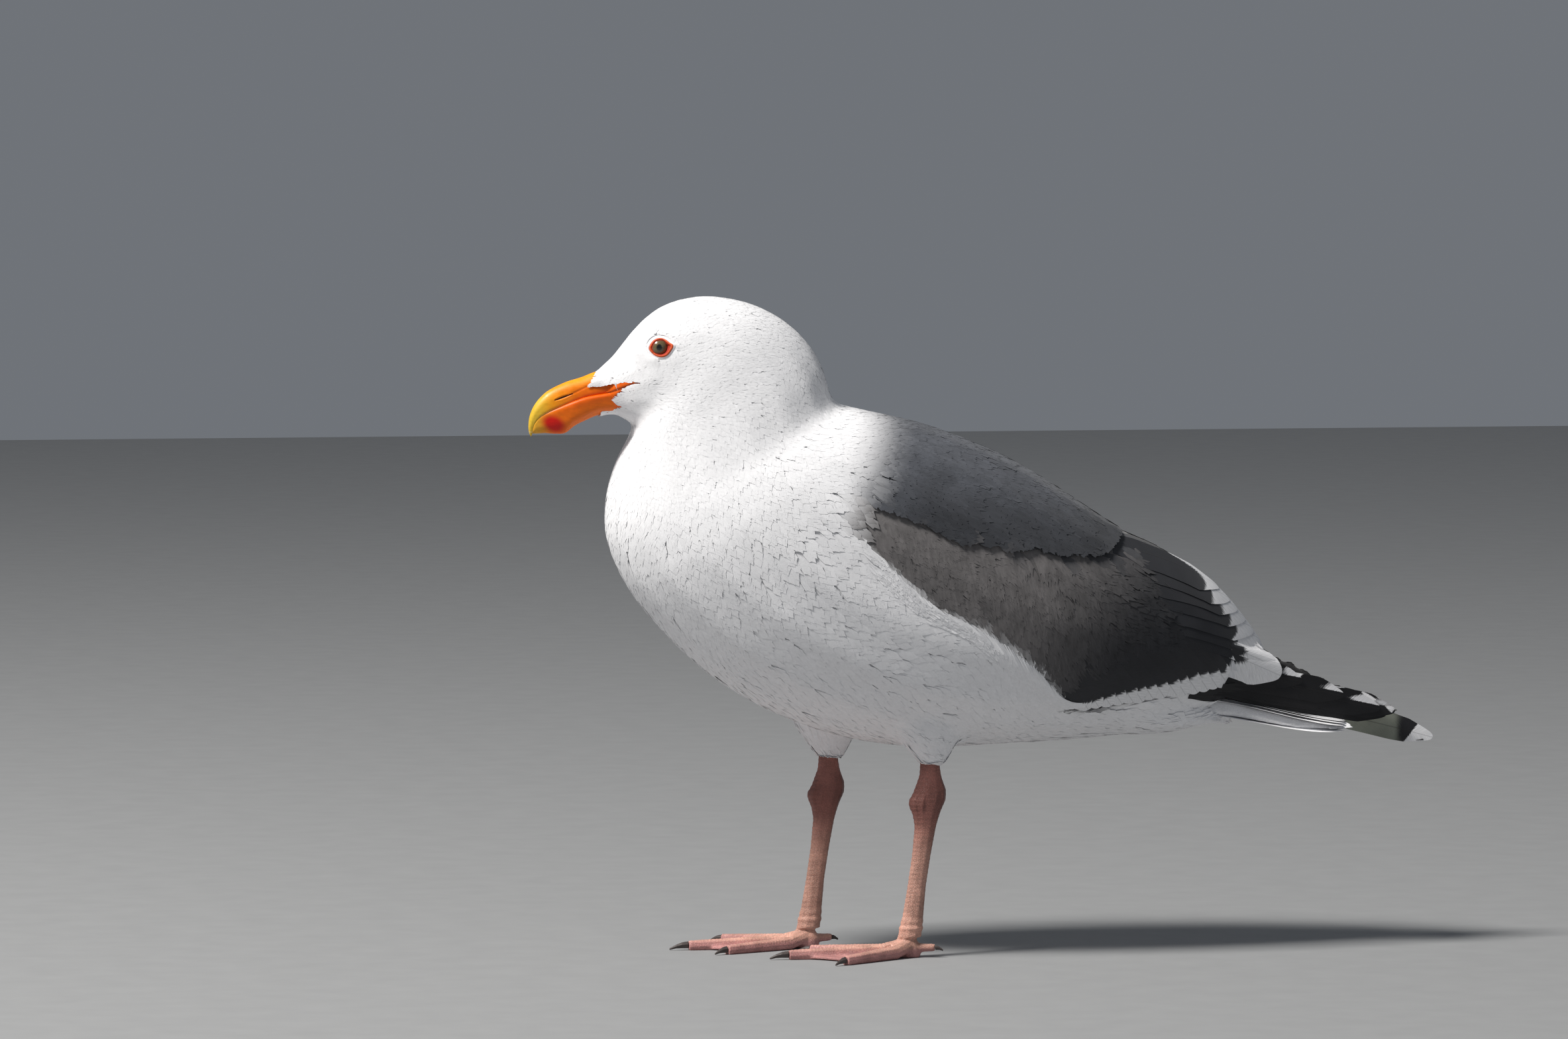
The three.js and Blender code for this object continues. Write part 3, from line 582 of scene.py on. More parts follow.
# ---------------------------------------------------------------- the coat: lie, length, width and depth

# place (x, z), the way feathers lie (x, z), length, width and coat depth in mm
LIE = {
    "lores": ((-222, 322), (1.0, 0.05), 2.4, 0.9, 0.7),
    "chin": ((-215, 308), (0.95, -0.3), 2.6, 0.9, 0.7),
    "forehead": ((-214, 346), (0.75, 0.65), 4.2, 1.6, 1.0),
    "eye": ((-194, 348), (1.0, -0.05), 2.6, 1.1, 0.6),
    "crown": ((-178, 371), (1.0, 0.0), 5.5, 2.0, 1.4),
    "cheek": ((-172, 328), (0.97, -0.25), 5.5, 1.9, 1.4),
    "ear": ((-146, 338), (0.9, -0.45), 6.5, 2.2, 1.7),
    "hind crown": ((-132, 364), (0.85, -0.5), 7.0, 2.4, 1.8),
    "nape": ((-106, 335), (0.25, -0.97), 9.0, 3.2, 2.6),
    "hind neck": ((-90, 314), (0.7, -0.7), 11.0, 3.8, 3.2),
    "throat": ((-195, 294), (0.5, -0.86), 6.5, 2.2, 1.7),
    "neck": ((-150, 288), (0.5, -0.86), 11.0, 3.4, 3.0),
    "breast": ((-214, 240), (0.2, -0.98), 13.0, 4.0, 4.0),
    "breast side": ((-150, 230), (0.5, -0.86), 15.0, 4.6, 5.0),
    "lower breast": ((-190, 182), (0.6, -0.8), 16.0, 4.8, 6.0),
    "belly front": ((-140, 145), (0.95, -0.3), 18.0, 5.0, 7.0),
    "belly": ((-60, 122), (1.0, 0.0), 18.0, 5.0, 7.0),
    "flank": ((-50, 168), (0.95, -0.3), 19.0, 5.4, 6.0),
    "shoulder": ((-100, 255), (0.8, -0.6), 15.0, 4.8, 5.0),
    "upper back": ((-62, 297), (0.98, -0.2), 11.0, 4.0, 5.0),
    "mantle": ((0, 272), (0.93, -0.36), 16.0, 6.5, 5.0),
    "scapulars": ((-20, 250), (0.93, -0.36), 17.0, 8.0, 5.0),
    "lower mantle": ((70, 236), (0.87, -0.5), 20.0, 9.0, 5.0),
    "wing front": ((-50, 226), (0.6, -0.8), 10.0, 4.0, 4.5),
    "wing side": ((10, 205), (0.4, -0.92), 15.0, 5.5, 4.5),
    "wing low": ((30, 180), (0.45, -0.9), 18.0, 6.0, 4.5),
    "wing rear": ((100, 180), (0.97, -0.22), 22.0, 10.0, 3.5),
    "vent": ((60, 124), (1.0, 0.02), 18.0, 5.4, 6.0),
    "undertail": ((150, 128), (1.0, 0.02), 22.0, 6.5, 3.5),
    "thigh": ((-65, 112), (0.25, -0.97), 12.0, 3.6, 4.0),
}
LIE_PLACES = np.array([v[0] for v in LIE.values()], float)
LIE_VALUES = np.array([(*v[1], *v[2:]) for v in LIE.values()], float)


def lie_at(points):
    """The lie (n, 3), length, width and depth of the coat at points, blended from the named places."""
    gap = ((points[:, None, ::2] - LIE_PLACES) ** 2).sum(2)
    weight = 1 / (gap + 30) ** 2
    blend = (weight[..., None] * LIE_VALUES).sum(1) / weight.sum(1)[:, None]
    way = np.c_[blend[:, 0], np.zeros(len(points)), blend[:, 1]]
    return way, blend[:, 2], blend[:, 3], blend[:, 4]


# ---------------------------------------------------------------- markings and painted shade

WHITE = linear(243, 243, 245)
MANTLE_GREY = linear(82, 85, 92)
COVERT_GREY = linear(107, 104, 104)
WING_GREY = linear(40, 41, 45)
BLACK = linear(22, 22, 25)
TIP_WHITE = linear(236, 236, 238)
# the mirror on a primary's underside: partly its own grey and partly painted shade
MIRROR_GREY_AND_SHADE = linear(126, 130, 120)
LEG_PALE = linear(214, 164, 146)
# the upper legs' darker, redder flesh: partly their own tone and partly painted shade under the body
LEG_FLESH_AND_SHADE = linear(164, 108, 98)
WEB_FLESH = linear(198, 142, 138)
# where the grey starts, from the flank feathers' point up to the back's ridge
GREY_FRONT_Z = np.array([142, 166, 189, 199, 225, 243, 262, 305])
GREY_FRONT_X = np.array([39, 15, -18, -41, -70, -90, -84, -66])
COVERTS_CLEAR = 1
WING_LOW_X = np.array([39, 53, 102, 141, 166])
WING_LOW_Z = np.array([139, 139, 147.5, 152, 153])
# the ragged line (x, z) where the grey of secondaries and tertials ends and their white tips begin
WHITE_EDGE = np.array([(40, 141), (51.5, 143.7), (68, 147.8), (84, 151), (101, 153.6), (116, 158), (133, 159),
                       (138.6, 172), (141, 182), (135, 193), (126, 201.5), (123.5, 210), (108, 226)], float)
# the scalloped lower edge of the scapulars, which stand off the coverts below
SCAPULAR_EDGE = np.array([(-86, 262), (-74, 257), (-60, 252), (-52, 248), (-47, 247.5), (-34, 240),
                          (-23, 236), (-14, 237.5), (-4, 233), (6, 231.5), (17, 232.5), (28, 228.5),
                          (38, 227.5), (47, 229), (56, 227), (66, 231), (84, 246), (100, 262)])
# painted shade on the face, in front of and below the eye and in a crease behind it: place (x, z), how wide and
# high in mm, and strength
FACE_PAINTED_SHADE = [(-207, 348, 5, 3.5, 0.2), (-203.5, 340.5, 5, 5, 0.16), (-196, 338, 5, 2.0, 0.12),
               (-184.5, 346.3, 4.5, 0.9, 0.3), (-189, 350.5, 3.0, 1.6, 0.2)]


def above_wing_low(points):
    """How far points lie above the line that coverts end at, just over the wing's lower edge, in mm."""
    return points[:, 2] - np.interp(points[:, 0], WING_LOW_X, WING_LOW_Z) - COVERTS_CLEAR


def above_scapular_edge(points):
    """How far points lie above the scapulars' lower edge, in mm."""
    return points[:, 2] - np.interp(points[:, 0], SCAPULAR_EDGE[:, 0], SCAPULAR_EDGE[:, 1])


def grey_share(points):
    """0 in the white plumage and 1 in the grey, softly blended over the upper back and sharp at the flank."""
    x, z = points[:, 0], points[:, 2]
    front = np.interp(z, GREY_FRONT_Z, GREY_FRONT_X)
    softness = 3 + 13 * smooth_step(235, 285, z)
    low = np.interp(x, WING_LOW_X, WING_LOW_Z)
    return smooth_step(-softness, softness, x - front) * smooth_step(-1, 1, z - low)


def plumage(points, grey, noise=None):
    """The coat's colour and painted shade at points, where grey is the share of grey and noise (n, 1) varies it
    a little.
    """
    x, z = points[:, 0], points[:, 2]
    above = above_scapular_edge(points)
    # painted shade: the mantle darkens down towards the scapulars' lower edge, where they stand off the coverts
    painted_shade = (0.55 * smooth_step(50, 2, above) * smooth_step(-80, -40, x))[:, None]
    # darker towards the wing's rear and lower edge: partly its darker long feathers and partly painted shade
    wing = tint(COVERT_GREY, WING_GREY, smooth_step(0, 85, x + 0.6 * (185 - z)))
    tone = tint(MANTLE_GREY * (1 - painted_shade), wing, smooth_step(0.5, -0.5, above))
    colour = tint(WHITE, tone, grey)
    # painted shade round the eye
    for px, pz, wide, high, strength in FACE_PAINTED_SHADE:
        colour = colour * (1 - strength * np.exp(-((x - px) / wide) ** 2 - ((z - pz) / high) ** 2))[:, None]
    if noise is not None:
        colour = colour * (1 + noise * (0.01 + 0.025 * grey[:, None]))
    return colour


def beyond_edge(points):
    """How far points lie outside WHITE_EDGE in the side view, in mm."""
    flat = points[..., ::2]
    best = np.full(flat.shape[:-1], 1e9)
    sign = np.ones(flat.shape[:-1])
    for a, b in zip(WHITE_EDGE[:-1], WHITE_EDGE[1:]):
        way = b - a
        t = np.clip((flat - a) @ way / (way @ way), 0, 1)
        off = flat - a - t[..., None] * way
        gap = np.linalg.norm(off, axis=-1)
        outside = np.sign(off[..., 0] * way[1] - off[..., 1] * way[0])
        closer = gap < best
        sign = np.where(closer, outside, sign)
        best = np.minimum(best, gap)
    return best * sign


# ---------------------------------------------------------------- vanes

def vane_faces(columns, rows):
    """Triangles of one closed thin vane, and which are above: a grid, with a keel below that shares its rim."""
    def top(c, r):
        return c * (rows + 1) + r

    def keel(r):
        return (columns + 1) * (rows + 1) + r

    above, below, ends = [], [], []
    for c in range(columns):
        for r in range(rows):
            above.append((top(c, r), top(c + 1, r), top(c + 1, r + 1), top(c, r + 1)))
        ends.append((top(c + 1, 0), top(c, 0), keel(0)))
        ends.append((top(c, rows), top(c + 1, rows), keel(rows)))
    for r in range(rows):
        below.append((top(0, r), top(0, r + 1), keel(r + 1), keel(r)))
        below.append((top(columns, r + 1), top(columns, r), keel(r), keel(r + 1)))
    tris = [t for a, b, c, d in above + below for t in ((a, b, c), (a, c, d))] + ends
    return np.array(tris), np.arange(len(tris)) < 2 * len(above)


def along(samples, v):
    """samples (n, k, 3), taken at even steps, read at v (n, ...) from 0 to 1."""
    steps = samples.shape[1] - 1
    place = np.clip(v * steps, 0, steps - 1e-6)
    low = place.astype(int)
    share = (place - low)[..., None]
    rows = np.arange(len(samples)).reshape(-1, *([1] * (v.ndim - 1)))
    return samples[rows, low] * (1 - share) + samples[rows, low + 1] * share


PATCH = 0.003
KEEL_REACH = 0.6  # how far down each vane its keel runs, so that it never shows between the barbs


class Coat:
    """Vanes gathered for one piece."""

    def __init__(self):
        self.verts, self.tris, self.paint, self.vane, self.root, self.local = [], [], [], [], [], []
        self.shading = []
        self.count = 0
        self.feathers = 0

    def add(self, line, normal, width, ends, half_width, camber, thickness, paint, sway=None, relief=0.0,
            lean=None, pace=None, settle=None):
        """Adds n vanes. line and normal are (n, k, 3), width and thickness (n,), ends (n, columns + 1) where
        each column stops, half_width(v) the outline, and paint(u, v) gives (n, vertices, 3 or 4). The shading
        follows the surface that the vanes lie on, rounded by relief across each vane and leant by lean (n, 3).
        pace spaces the rows, and settle(points, v) lays the points on a surface."""
        n, columns, rows = len(line), ends.shape[1] - 1, line.shape[1] - 1
        u = np.broadcast_to(np.linspace(-1, 1, columns + 1)[None, :, None], (n, columns + 1, rows + 1))
        steps = np.linspace(0, 1, rows + 1) if pace is None else pace
        v = steps[None, None, :] * ends[..., None]
        heading = unit(np.gradient(line, axis=1))
        side = unit(np.cross(heading, normal))
        reach = u * half_width(v) * width[:, None, None] / 2
        if sway is not None:
            reach = reach + sway(u, v)
        up = along(normal, v)
        top = along(line, v) + along(side, v) * reach[..., None]
        top -= up * (camber * width[:, None, None] * u ** 2)[..., None]
        if settle is not None:
            top = settle(top, v)
        keel_v = steps[None] * (ends.min(1) * KEEL_REACH)[:, None]
        keel = along(line, keel_v) - along(normal, keel_v) * thickness[:, None, None]
        points = np.concatenate([top.reshape(n, -1, 3), keel], 1)
        all_u = np.concatenate([u.reshape(n, -1), np.zeros((n, rows + 1))], 1)
        all_v = np.concatenate([v.reshape(n, -1), keel_v], 1)
        length = np.linalg.norm(np.diff(line, axis=1), axis=2).sum(1)
        faces, above = vane_faces(columns, rows)
        size = points.shape[1]
        self.tris.append((faces[None] + (np.arange(n) * size)[:, None, None] + self.count).reshape(-1, 3))
        self.verts.append(points.reshape(-1, 3))
        made = paint(all_u, all_v)
        self.paint.append(made.reshape(-1, made.shape[-1]))
        self.vane.append(np.stack([all_u * width[:, None] / 2, all_v * length[:, None]], 2).reshape(-1, 2))
        self.root.append(np.repeat(line[:, 0], size, 0))
        self.local.append(np.stack([all_u / 2 + 0.5, all_v], 2).reshape(-1, 2))
        shade = up + along(side, v) * (relief * u)[..., None]
        shade = np.concatenate([shade.reshape(n, -1, 3), along(normal, keel_v)], 1)
        if lean is not None:
            shade = shade + lean[:, None]
        shade = unit(shade)[:, faces.ravel()].reshape(n, -1, 3, 3)
        a, b, c = (points[:, faces[~above, k]] for k in range(3))
        true = unit(np.cross(b - a, c - a))
        upward = shade[:, ~above].mean(2)
        share = np.maximum(0, 1 + (true * upward).sum(2, keepdims=True))
        shade[:, ~above] = unit(true + upward * share)[:, :, None]
        self.shading.append(shade.reshape(-1, 3))
        self.count += n * size
        self.feathers += n

    def piece(self, name, material, slot, atlas=False):
        """One piece of all the vanes. Its OFBake map has a small patch at each root's place on the skin's
        unwrap, or with atlas a cell for each large feather."""
        verts, tris = np.concatenate(self.verts), np.concatenate(self.tris)
        root, local = np.concatenate(self.root), np.concatenate(self.local)
        spread = unwrap(root)
        low, high = spread.min(0), spread.max(0)
        bake = 0.01 + 0.97 * (spread - low) / np.maximum(high - low, 1e-6) + PATCH * local
        if atlas:
            each = len(verts) // self.feathers
            number = np.arange(len(verts)) // each
            across = math.ceil(math.sqrt(self.feathers))
            bake = (np.stack([number % across, number // across], 1) + 0.05 + 0.9 * local) / across
        maps = {"OFBake": bake, "Vane": np.concatenate(self.vane)}
        make_piece(name, verts, tris, [material], np.concatenate(self.paint), maps=maps,
                   shading=np.concatenate(self.shading))


# the body's middle line (x, z), from the bill's base to the tail, for the unwrap
SPINE = np.array([(-225, 318), (-170, 335), (-135, 290), (-105, 225), (0, 190), (120, 160), (262, 125)])


def unwrap(points):
    """The skin's own unwrap: how far along the body's middle line, and the angle round it."""
    flat = points[:, ::2]
    best = np.full(len(points), np.inf)
    out = np.zeros((len(points), 2))
    start, total = 0.0, np.linalg.norm(np.diff(SPINE, axis=0), axis=1).sum()
    for a, b in zip(SPINE[:-1], SPINE[1:]):
        span = np.linalg.norm(b - a)
        way = (b - a) / span
        t = np.clip((flat - a) @ way, 0, span)
        off = flat - a - t[:, None] * way
        gap = (off ** 2).sum(1)
        up = off @ np.array([-way[1], way[0]])
        turn = np.arctan2(points[:, 1], up) / (2 * math.pi) + 0.5
        closer = gap < best
        out[closer] = np.stack([(start + t) / total, turn], 1)[closer]
        best = np.minimum(best, gap)
        start += span
    return out


# ---------------------------------------------------------------- body: skin and contour feathers

CANDIDATES, FACE_CANDIDATES = 600000, 200000
LEVEL = 1.15  # the step from one size of the grid that spaces the roots to the next
LAYERS = 6.7  # how many feathers lie over each place
ROOT_SUNK = 0.045  # how deep a root may lie, as a share of its feather's length
MOST_TRIANGLES = 190000  # in one piece of small feathers, before it is split
FACE_BACK, FACE_LOW = -196, 302  # the face's own small feathers grow in front of and above these
# in the side view, the bill and the soft gape behind it, where no feather grows
BARE_FACE = np.array([(-300, 350), (-225, 350), (-226.8, 332.1), (-232.2, 323.9), (-225.3, 324.2),
                      (-214.2, 326.4), (-204.2, 327), (-213.3, 323.4), (-218.5, 316.5), (-216, 313.9),
                      (-212.3, 312.7), (-217.6, 311.3), (-224.2, 309.6), (-226, 280), (-300, 280)])
GAPE_DEPTH = 4.5  # how much deeper the skin lies under the bare gape
# behind COVERTS_END_AT and under this line (x, z), the wing's long feathers take over from its coverts
COVERTS_END_AT = 108
COVERT_ROW_X, COVERT_ROW_Z = [-80, -40, 0, 40, 80, 120], [205, 186, 170, 160, 164, 174]
# where the toes meet, (x, y) of the near foot and the far one
FOOT_JOINTS = np.array([(-50.5, -30.0), (-97.5, 30.0)])
RING_ACROSS, RING_UP = 5.9, 5.1  # the orbital ring's half axes, which no feather covers
HALF_HEAD = 8  # how far in from an eye its side of the head reaches
LOCKS = 1600  # on each side
# the flank's edge (x, z), along which its locks overlap the wing
FLANK_EDGE = np.array([(-76, 232), (-72, 226), (-56, 212), (-40.6, 200), (-30, 195), (-18.2, 189), (0, 178),
                       (15.2, 166.5), (28, 154), (39, 142)], float)
VARIED = (0.85, 1.15)  # the range of a feather's length and width about what its place gives
SHORTEST = 5.0  # feathers cut shorter than this are left out
RISEN_BY = 0.85  # how far down its vane a feather has risen to the surface
CAMBER, THICKNESS = 0.015, 0.035  # shares of a feather's width
JITTER = 0.07  # how unevenly the columns of a vane end


class Body:
    """The bird's outer surface, the skin a coat's depth inside it, and which node each place is on."""

    def __init__(self):
        self.outer = Surface(*remeshed(FLESH, voxel=1.8, grow=0.4, rounds=30))
        _, length, _, depth = lie_at(self.outer.verts)
        depth = np.minimum(0.8 * depth, ROOT_SUNK * length) + 0.15
        self.depth = np.minimum(depth, 0.3 * self.outer.thickness(24.0))
        flat = self.outer.verts[:, ::2]
        bare = np.where(inside(self.outer.verts, BARE_FACE), 0, broken_line_gap(flat, BARE_FACE))
        self.depth += GAPE_DEPTH * smooth_step(3.0, 0.8, bare) * smooth_step(-200, -206, flat[:, 0])
        self.skin = self.outer.verts - self.outer.normals * self.depth[:, None]
        self.nodes = {name: node_surface(name) for name in FLESH}

    def owner(self, points):
        """The name of the node nearest to each point."""
        gaps = np.stack([self.nodes[name].distance(points) for name in FLESH])
        return np.array(FLESH)[gaps.argmin(0)]


def limb_skin():
    """Legs and feet as one fine surface with toe joints and rows of plates, and their tone with painted shade.
    """
    verts, tris = remeshed(LIMBS, voxel=0.65, grow=0.25, rounds=3)
    normals = vertex_normals(verts, tris)
    x, y, z = verts.T
    shank = smooth_step(13, 22, z)
    plate = np.abs(np.sin(z * math.pi / 2.6))
    front = smooth_step(0.1, 0.7, -normals[:, 0])
    behind = smooth_step(0.2, 0.8, normals[:, 0])
    knob = 1.7 * front * np.exp(-((z - 87) / 4.5) ** 2) + 1.1 * behind * np.exp(-((z - 92) / 7) ** 2)
    fold = 0.55 * np.exp(-((z - 16.5) / 1.3) ** 2) + 0.35 * np.exp(-((z - 20.5) / 1.1) ** 2)
    foot = np.where(y[:, None] < 0, FOOT_JOINTS[0], FOOT_JOINTS[1])
    out = np.hypot(x - foot[:, 0], y - foot[:, 1])
    scute = np.abs(np.sin(out * math.pi / 2.1))
    toe = (1 - shank) * smooth_step(3.2, 5.0, z)
    toe *= smooth_step(0.2, 0.6, normals[:, 2]) * smooth_step(9, 14, out)
    rise = shank * (front * 0.35 * plate ** 0.5 + (1 - front) * 0.1 * plate) + knob + fold
    rise += toe * 0.3 * scute ** 0.5
    verts = verts + normals * (rise - 0.25)[:, None]
    # darker and redder towards the top: partly the legs' flesh and partly painted shade under the body
    tone = tint(LEG_PALE, LEG_FLESH_AND_SHADE, smooth_step(48, 84, z))
    tone = tint(tone, WEB_FLESH, (1 - shank) * smooth_step(7.0, 3.5, z))
    # darker round the heel and in the grooves between the front plates, and painted shade up the back of the
    # shank
    dark = 0.22 * np.exp(-((z - 88) / 10) ** 2) + shank * behind * 0.25 + 0.15 * front * shank * (1 - plate)
    tone = tone * (1 - dark + 0.1 * toe * scute)[:, None]
    return verts, tris, tone


def make_skin(body):
    """One skin for all the flesh: body and limbs."""
    limb_verts, limb_tris, limb_paint = limb_skin()
    paint = plumage(body.outer.verts, grey_share(body.outer.verts))
    verts = np.r_[body.skin, limb_verts]
    tris = np.r_[body.outer.tris, limb_tris + len(body.skin)]
    slots = np.r_[np.zeros(len(body.outer.tris)), np.ones(len(limb_tris))]
    make_piece("skin", verts, tris, [down_material(), leg_material()],
               np.r_[paint, limb_paint], FLESH + LIMBS, face_slot=slots)


def march(surface, start, length, steps):
    """Lines that follow the coat's lie over the surface from start, with the surface's normals."""
    place, normal = surface.nearest(start)
    places, normals = [place], [normal]
    for _ in range(steps):
        way = lie_at(place)[0]
        way = unit(way - normal * (way * normal).sum(1)[:, None])
        place, normal = surface.nearest(place + way * (length / steps)[:, None])
        places.append(place)
        normals.append(normal)
    return np.stack(places, 1), np.stack(normals, 1)


def choose_roots(surface, candidates, rng):
    """Evenly spread feather roots, closer together where feathers are small."""
    places = surface.scatter(candidates, rng)
    _, length, width, _ = lie_at(places)
    spacing = np.sqrt(1.5 * length * width / LAYERS)
    level = np.round(np.log(spacing) / math.log(LEVEL))
    cell = np.floor(places / (LEVEL ** level)[:, None])
    _, chosen = np.unique(np.c_[cell, level].astype(np.int64), axis=0, return_index=True)
    return places[np.sort(chosen)]


def contour_piece(name, surface, roots, slot, material, rng, columns, rows, fringe, wave, tilt=0.015,
                  uneven=0.01, relief=0.05, length_scale=1.0, slender=1.0, lift=None, stop_at=None,
                  white=False):
    """A piece of small feathers on the given roots, each following the lie of the coat. fringe is how ragged
    their tips are, wave how much they sway, tilt how unevenly they rise, and uneven and relief how their
    shading leans and rounds. lift(points) raises them, and those that would run on to where stop_at(points)
    turns negative are cut short there. white leaves them white in the grey parts too."""
    _, length, width, depth = lie_at(roots)
    length = length * length_scale * rng.uniform(*VARIED, len(roots))
    width = width * slender * rng.uniform(*VARIED, len(roots))
    line, normal = march(surface, roots, length, rows)
    if stop_at is not None:
        inside_by = stop_at(line.reshape(-1, 3)).reshape(line.shape[:2])
        share = np.ones(len(line))
        for k in range(rows - 1, -1, -1):
            a, b = inside_by[:, k], inside_by[:, k + 1]
            share = np.where(b < 0, (k + np.clip(a / (a - b + 1e-9), 0, 1)) / rows, share)
        kept = share * length > SHORTEST
        length, width, depth = length[kept] * share[kept], width[kept], depth[kept]
        line, normal = march(surface, roots[kept], length, rows)
    n = len(line)
    v = np.linspace(0, 1, rows + 1)
    reach = rng.uniform(1 - tilt, 1 + tilt * 0.5, n)[:, None]
    slope = np.minimum(depth * 0.8, ROOT_SUNK * length)
    sunk = slope[:, None] * (1 - (1 - np.clip(1 - v / RISEN_BY, 0, 1) ** 2)[None] * reach)
    if lift is not None:
        sunk = sunk - lift(line.reshape(-1, 3)).reshape(sunk.shape)
    line = line - normal * sunk[..., None]
    across = np.linspace(-1, 1, columns + 1)[None]
    notch = (np.arange(columns + 1) % 2)[None]
    ends = (1 - 0.25 * across ** 2) * (1 - fringe * notch * rng.uniform(0.5, 1.3, (n, columns + 1)))
    ends *= rng.uniform(1 - JITTER, 1.0, (n, columns + 1))
    tone = rng.normal(0, 1, n)[:, None]
    lean = rng.normal(0, 1, (n, 3)) * uneven
    grey, tip_grey = (np.zeros(n) if white else grey_share(line[:, k]) for k in (0, -1))
    base, tip = plumage(line[:, 0], grey, tone), plumage(line[:, -1], tip_grey, tone)

    def outline(v):
        """Narrow at the root, full from the middle, and a little narrower again at the tip."""
        return 0.4 + 0.6 * smooth_step(0, 0.55, v) - 0.2 * smooth_step(0.75, 1.0, v)

    def paint(u, v):
        light = 1 + (0.05 * grey[:, None]) * smooth_step(0.6, 1, v)
        return tint(base[:, None], tip[:, None], v) * light[..., None]

    phase = rng.uniform(0, 2 * math.pi, (n, 1, 1))
    swing = (rng.uniform(0.3, 1.0, n) * wave * width)[:, None, None]

    def sway(u, v):
        return swing * v * np.sin(phase + 5.0 * v + 0.8 * u)

    coat = Coat()
    coat.add(line, normal, width, ends, outline, CAMBER, THICKNESS * width, paint, sway, relief, lean)
    coat.piece(name, material, slot)


def eye_centre(side):
    """The centre and radius of the CAD's eyeball on one side, in mm."""
    low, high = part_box("eye_left" if side == LEFT else "eye_right")
    radius = (high.x - low.x) / 2 / MM
    edge = (low.y if side == LEFT else high.y) / MM
    return np.array([(low.x + high.x) / 2 / MM, edge - side * radius, (low.z + high.z) / 2 / MM]), radius


def clear_of_eyes(roots, length):
    """True for roots whose feathers don't cross an orbital ring."""
    clear = np.ones(len(roots), bool)
    way = unit(lie_at(roots)[0])
    for side in (LEFT, RIGHT):
        centre, _ = eye_centre(side)
        for reach in (0.0, 0.5, 0.9):
            off = roots + way * (length * reach)[:, None] - centre
            within = (off[:, 0] / RING_ACROSS) ** 2 + (off[:, 2] / RING_UP) ** 2 < 1
            clear &= ~(within & (off[:, 1] * side > -HALF_HEAD))
    return clear


def flank_locks(body, material, rng):
    """Loose wavy white locks that overlap the wing's lower front edge."""
    at = spread_between(FLANK_EDGE, LOCKS)
    way = unit(np.gradient(at, axis=0))
    away = np.stack([way[:, 1], -way[:, 0]], 1)
    back = rng.uniform(1.0, 20.0, LOCKS)
    roots = at + away * (back * 0.45)[:, None] - way * (back * 0.75)[:, None]
    roots = np.insert(roots, 1, 0.0, axis=1)
    spots = np.concatenate([body.outer.meet(roots, np.array([0.0, -side, 0.0])) for side in (LEFT, RIGHT)])
    contour_piece("flank_locks", body.outer, spots, "plumage_white", material, rng, columns=2, rows=5,
                  fringe=0.3, wave=0.5, tilt=0.12, uneven=0.04, length_scale=1.15, slender=0.2, lift=lock_lift,
                  white=True)


def lock_lift(points):
    """Locks stand off the more the nearer they come to the wing."""
    gap = broken_line_gap(points[:, ::2], FLANK_EDGE)
    return 0.1 + 0.9 * smooth_step(12, 0, gap)


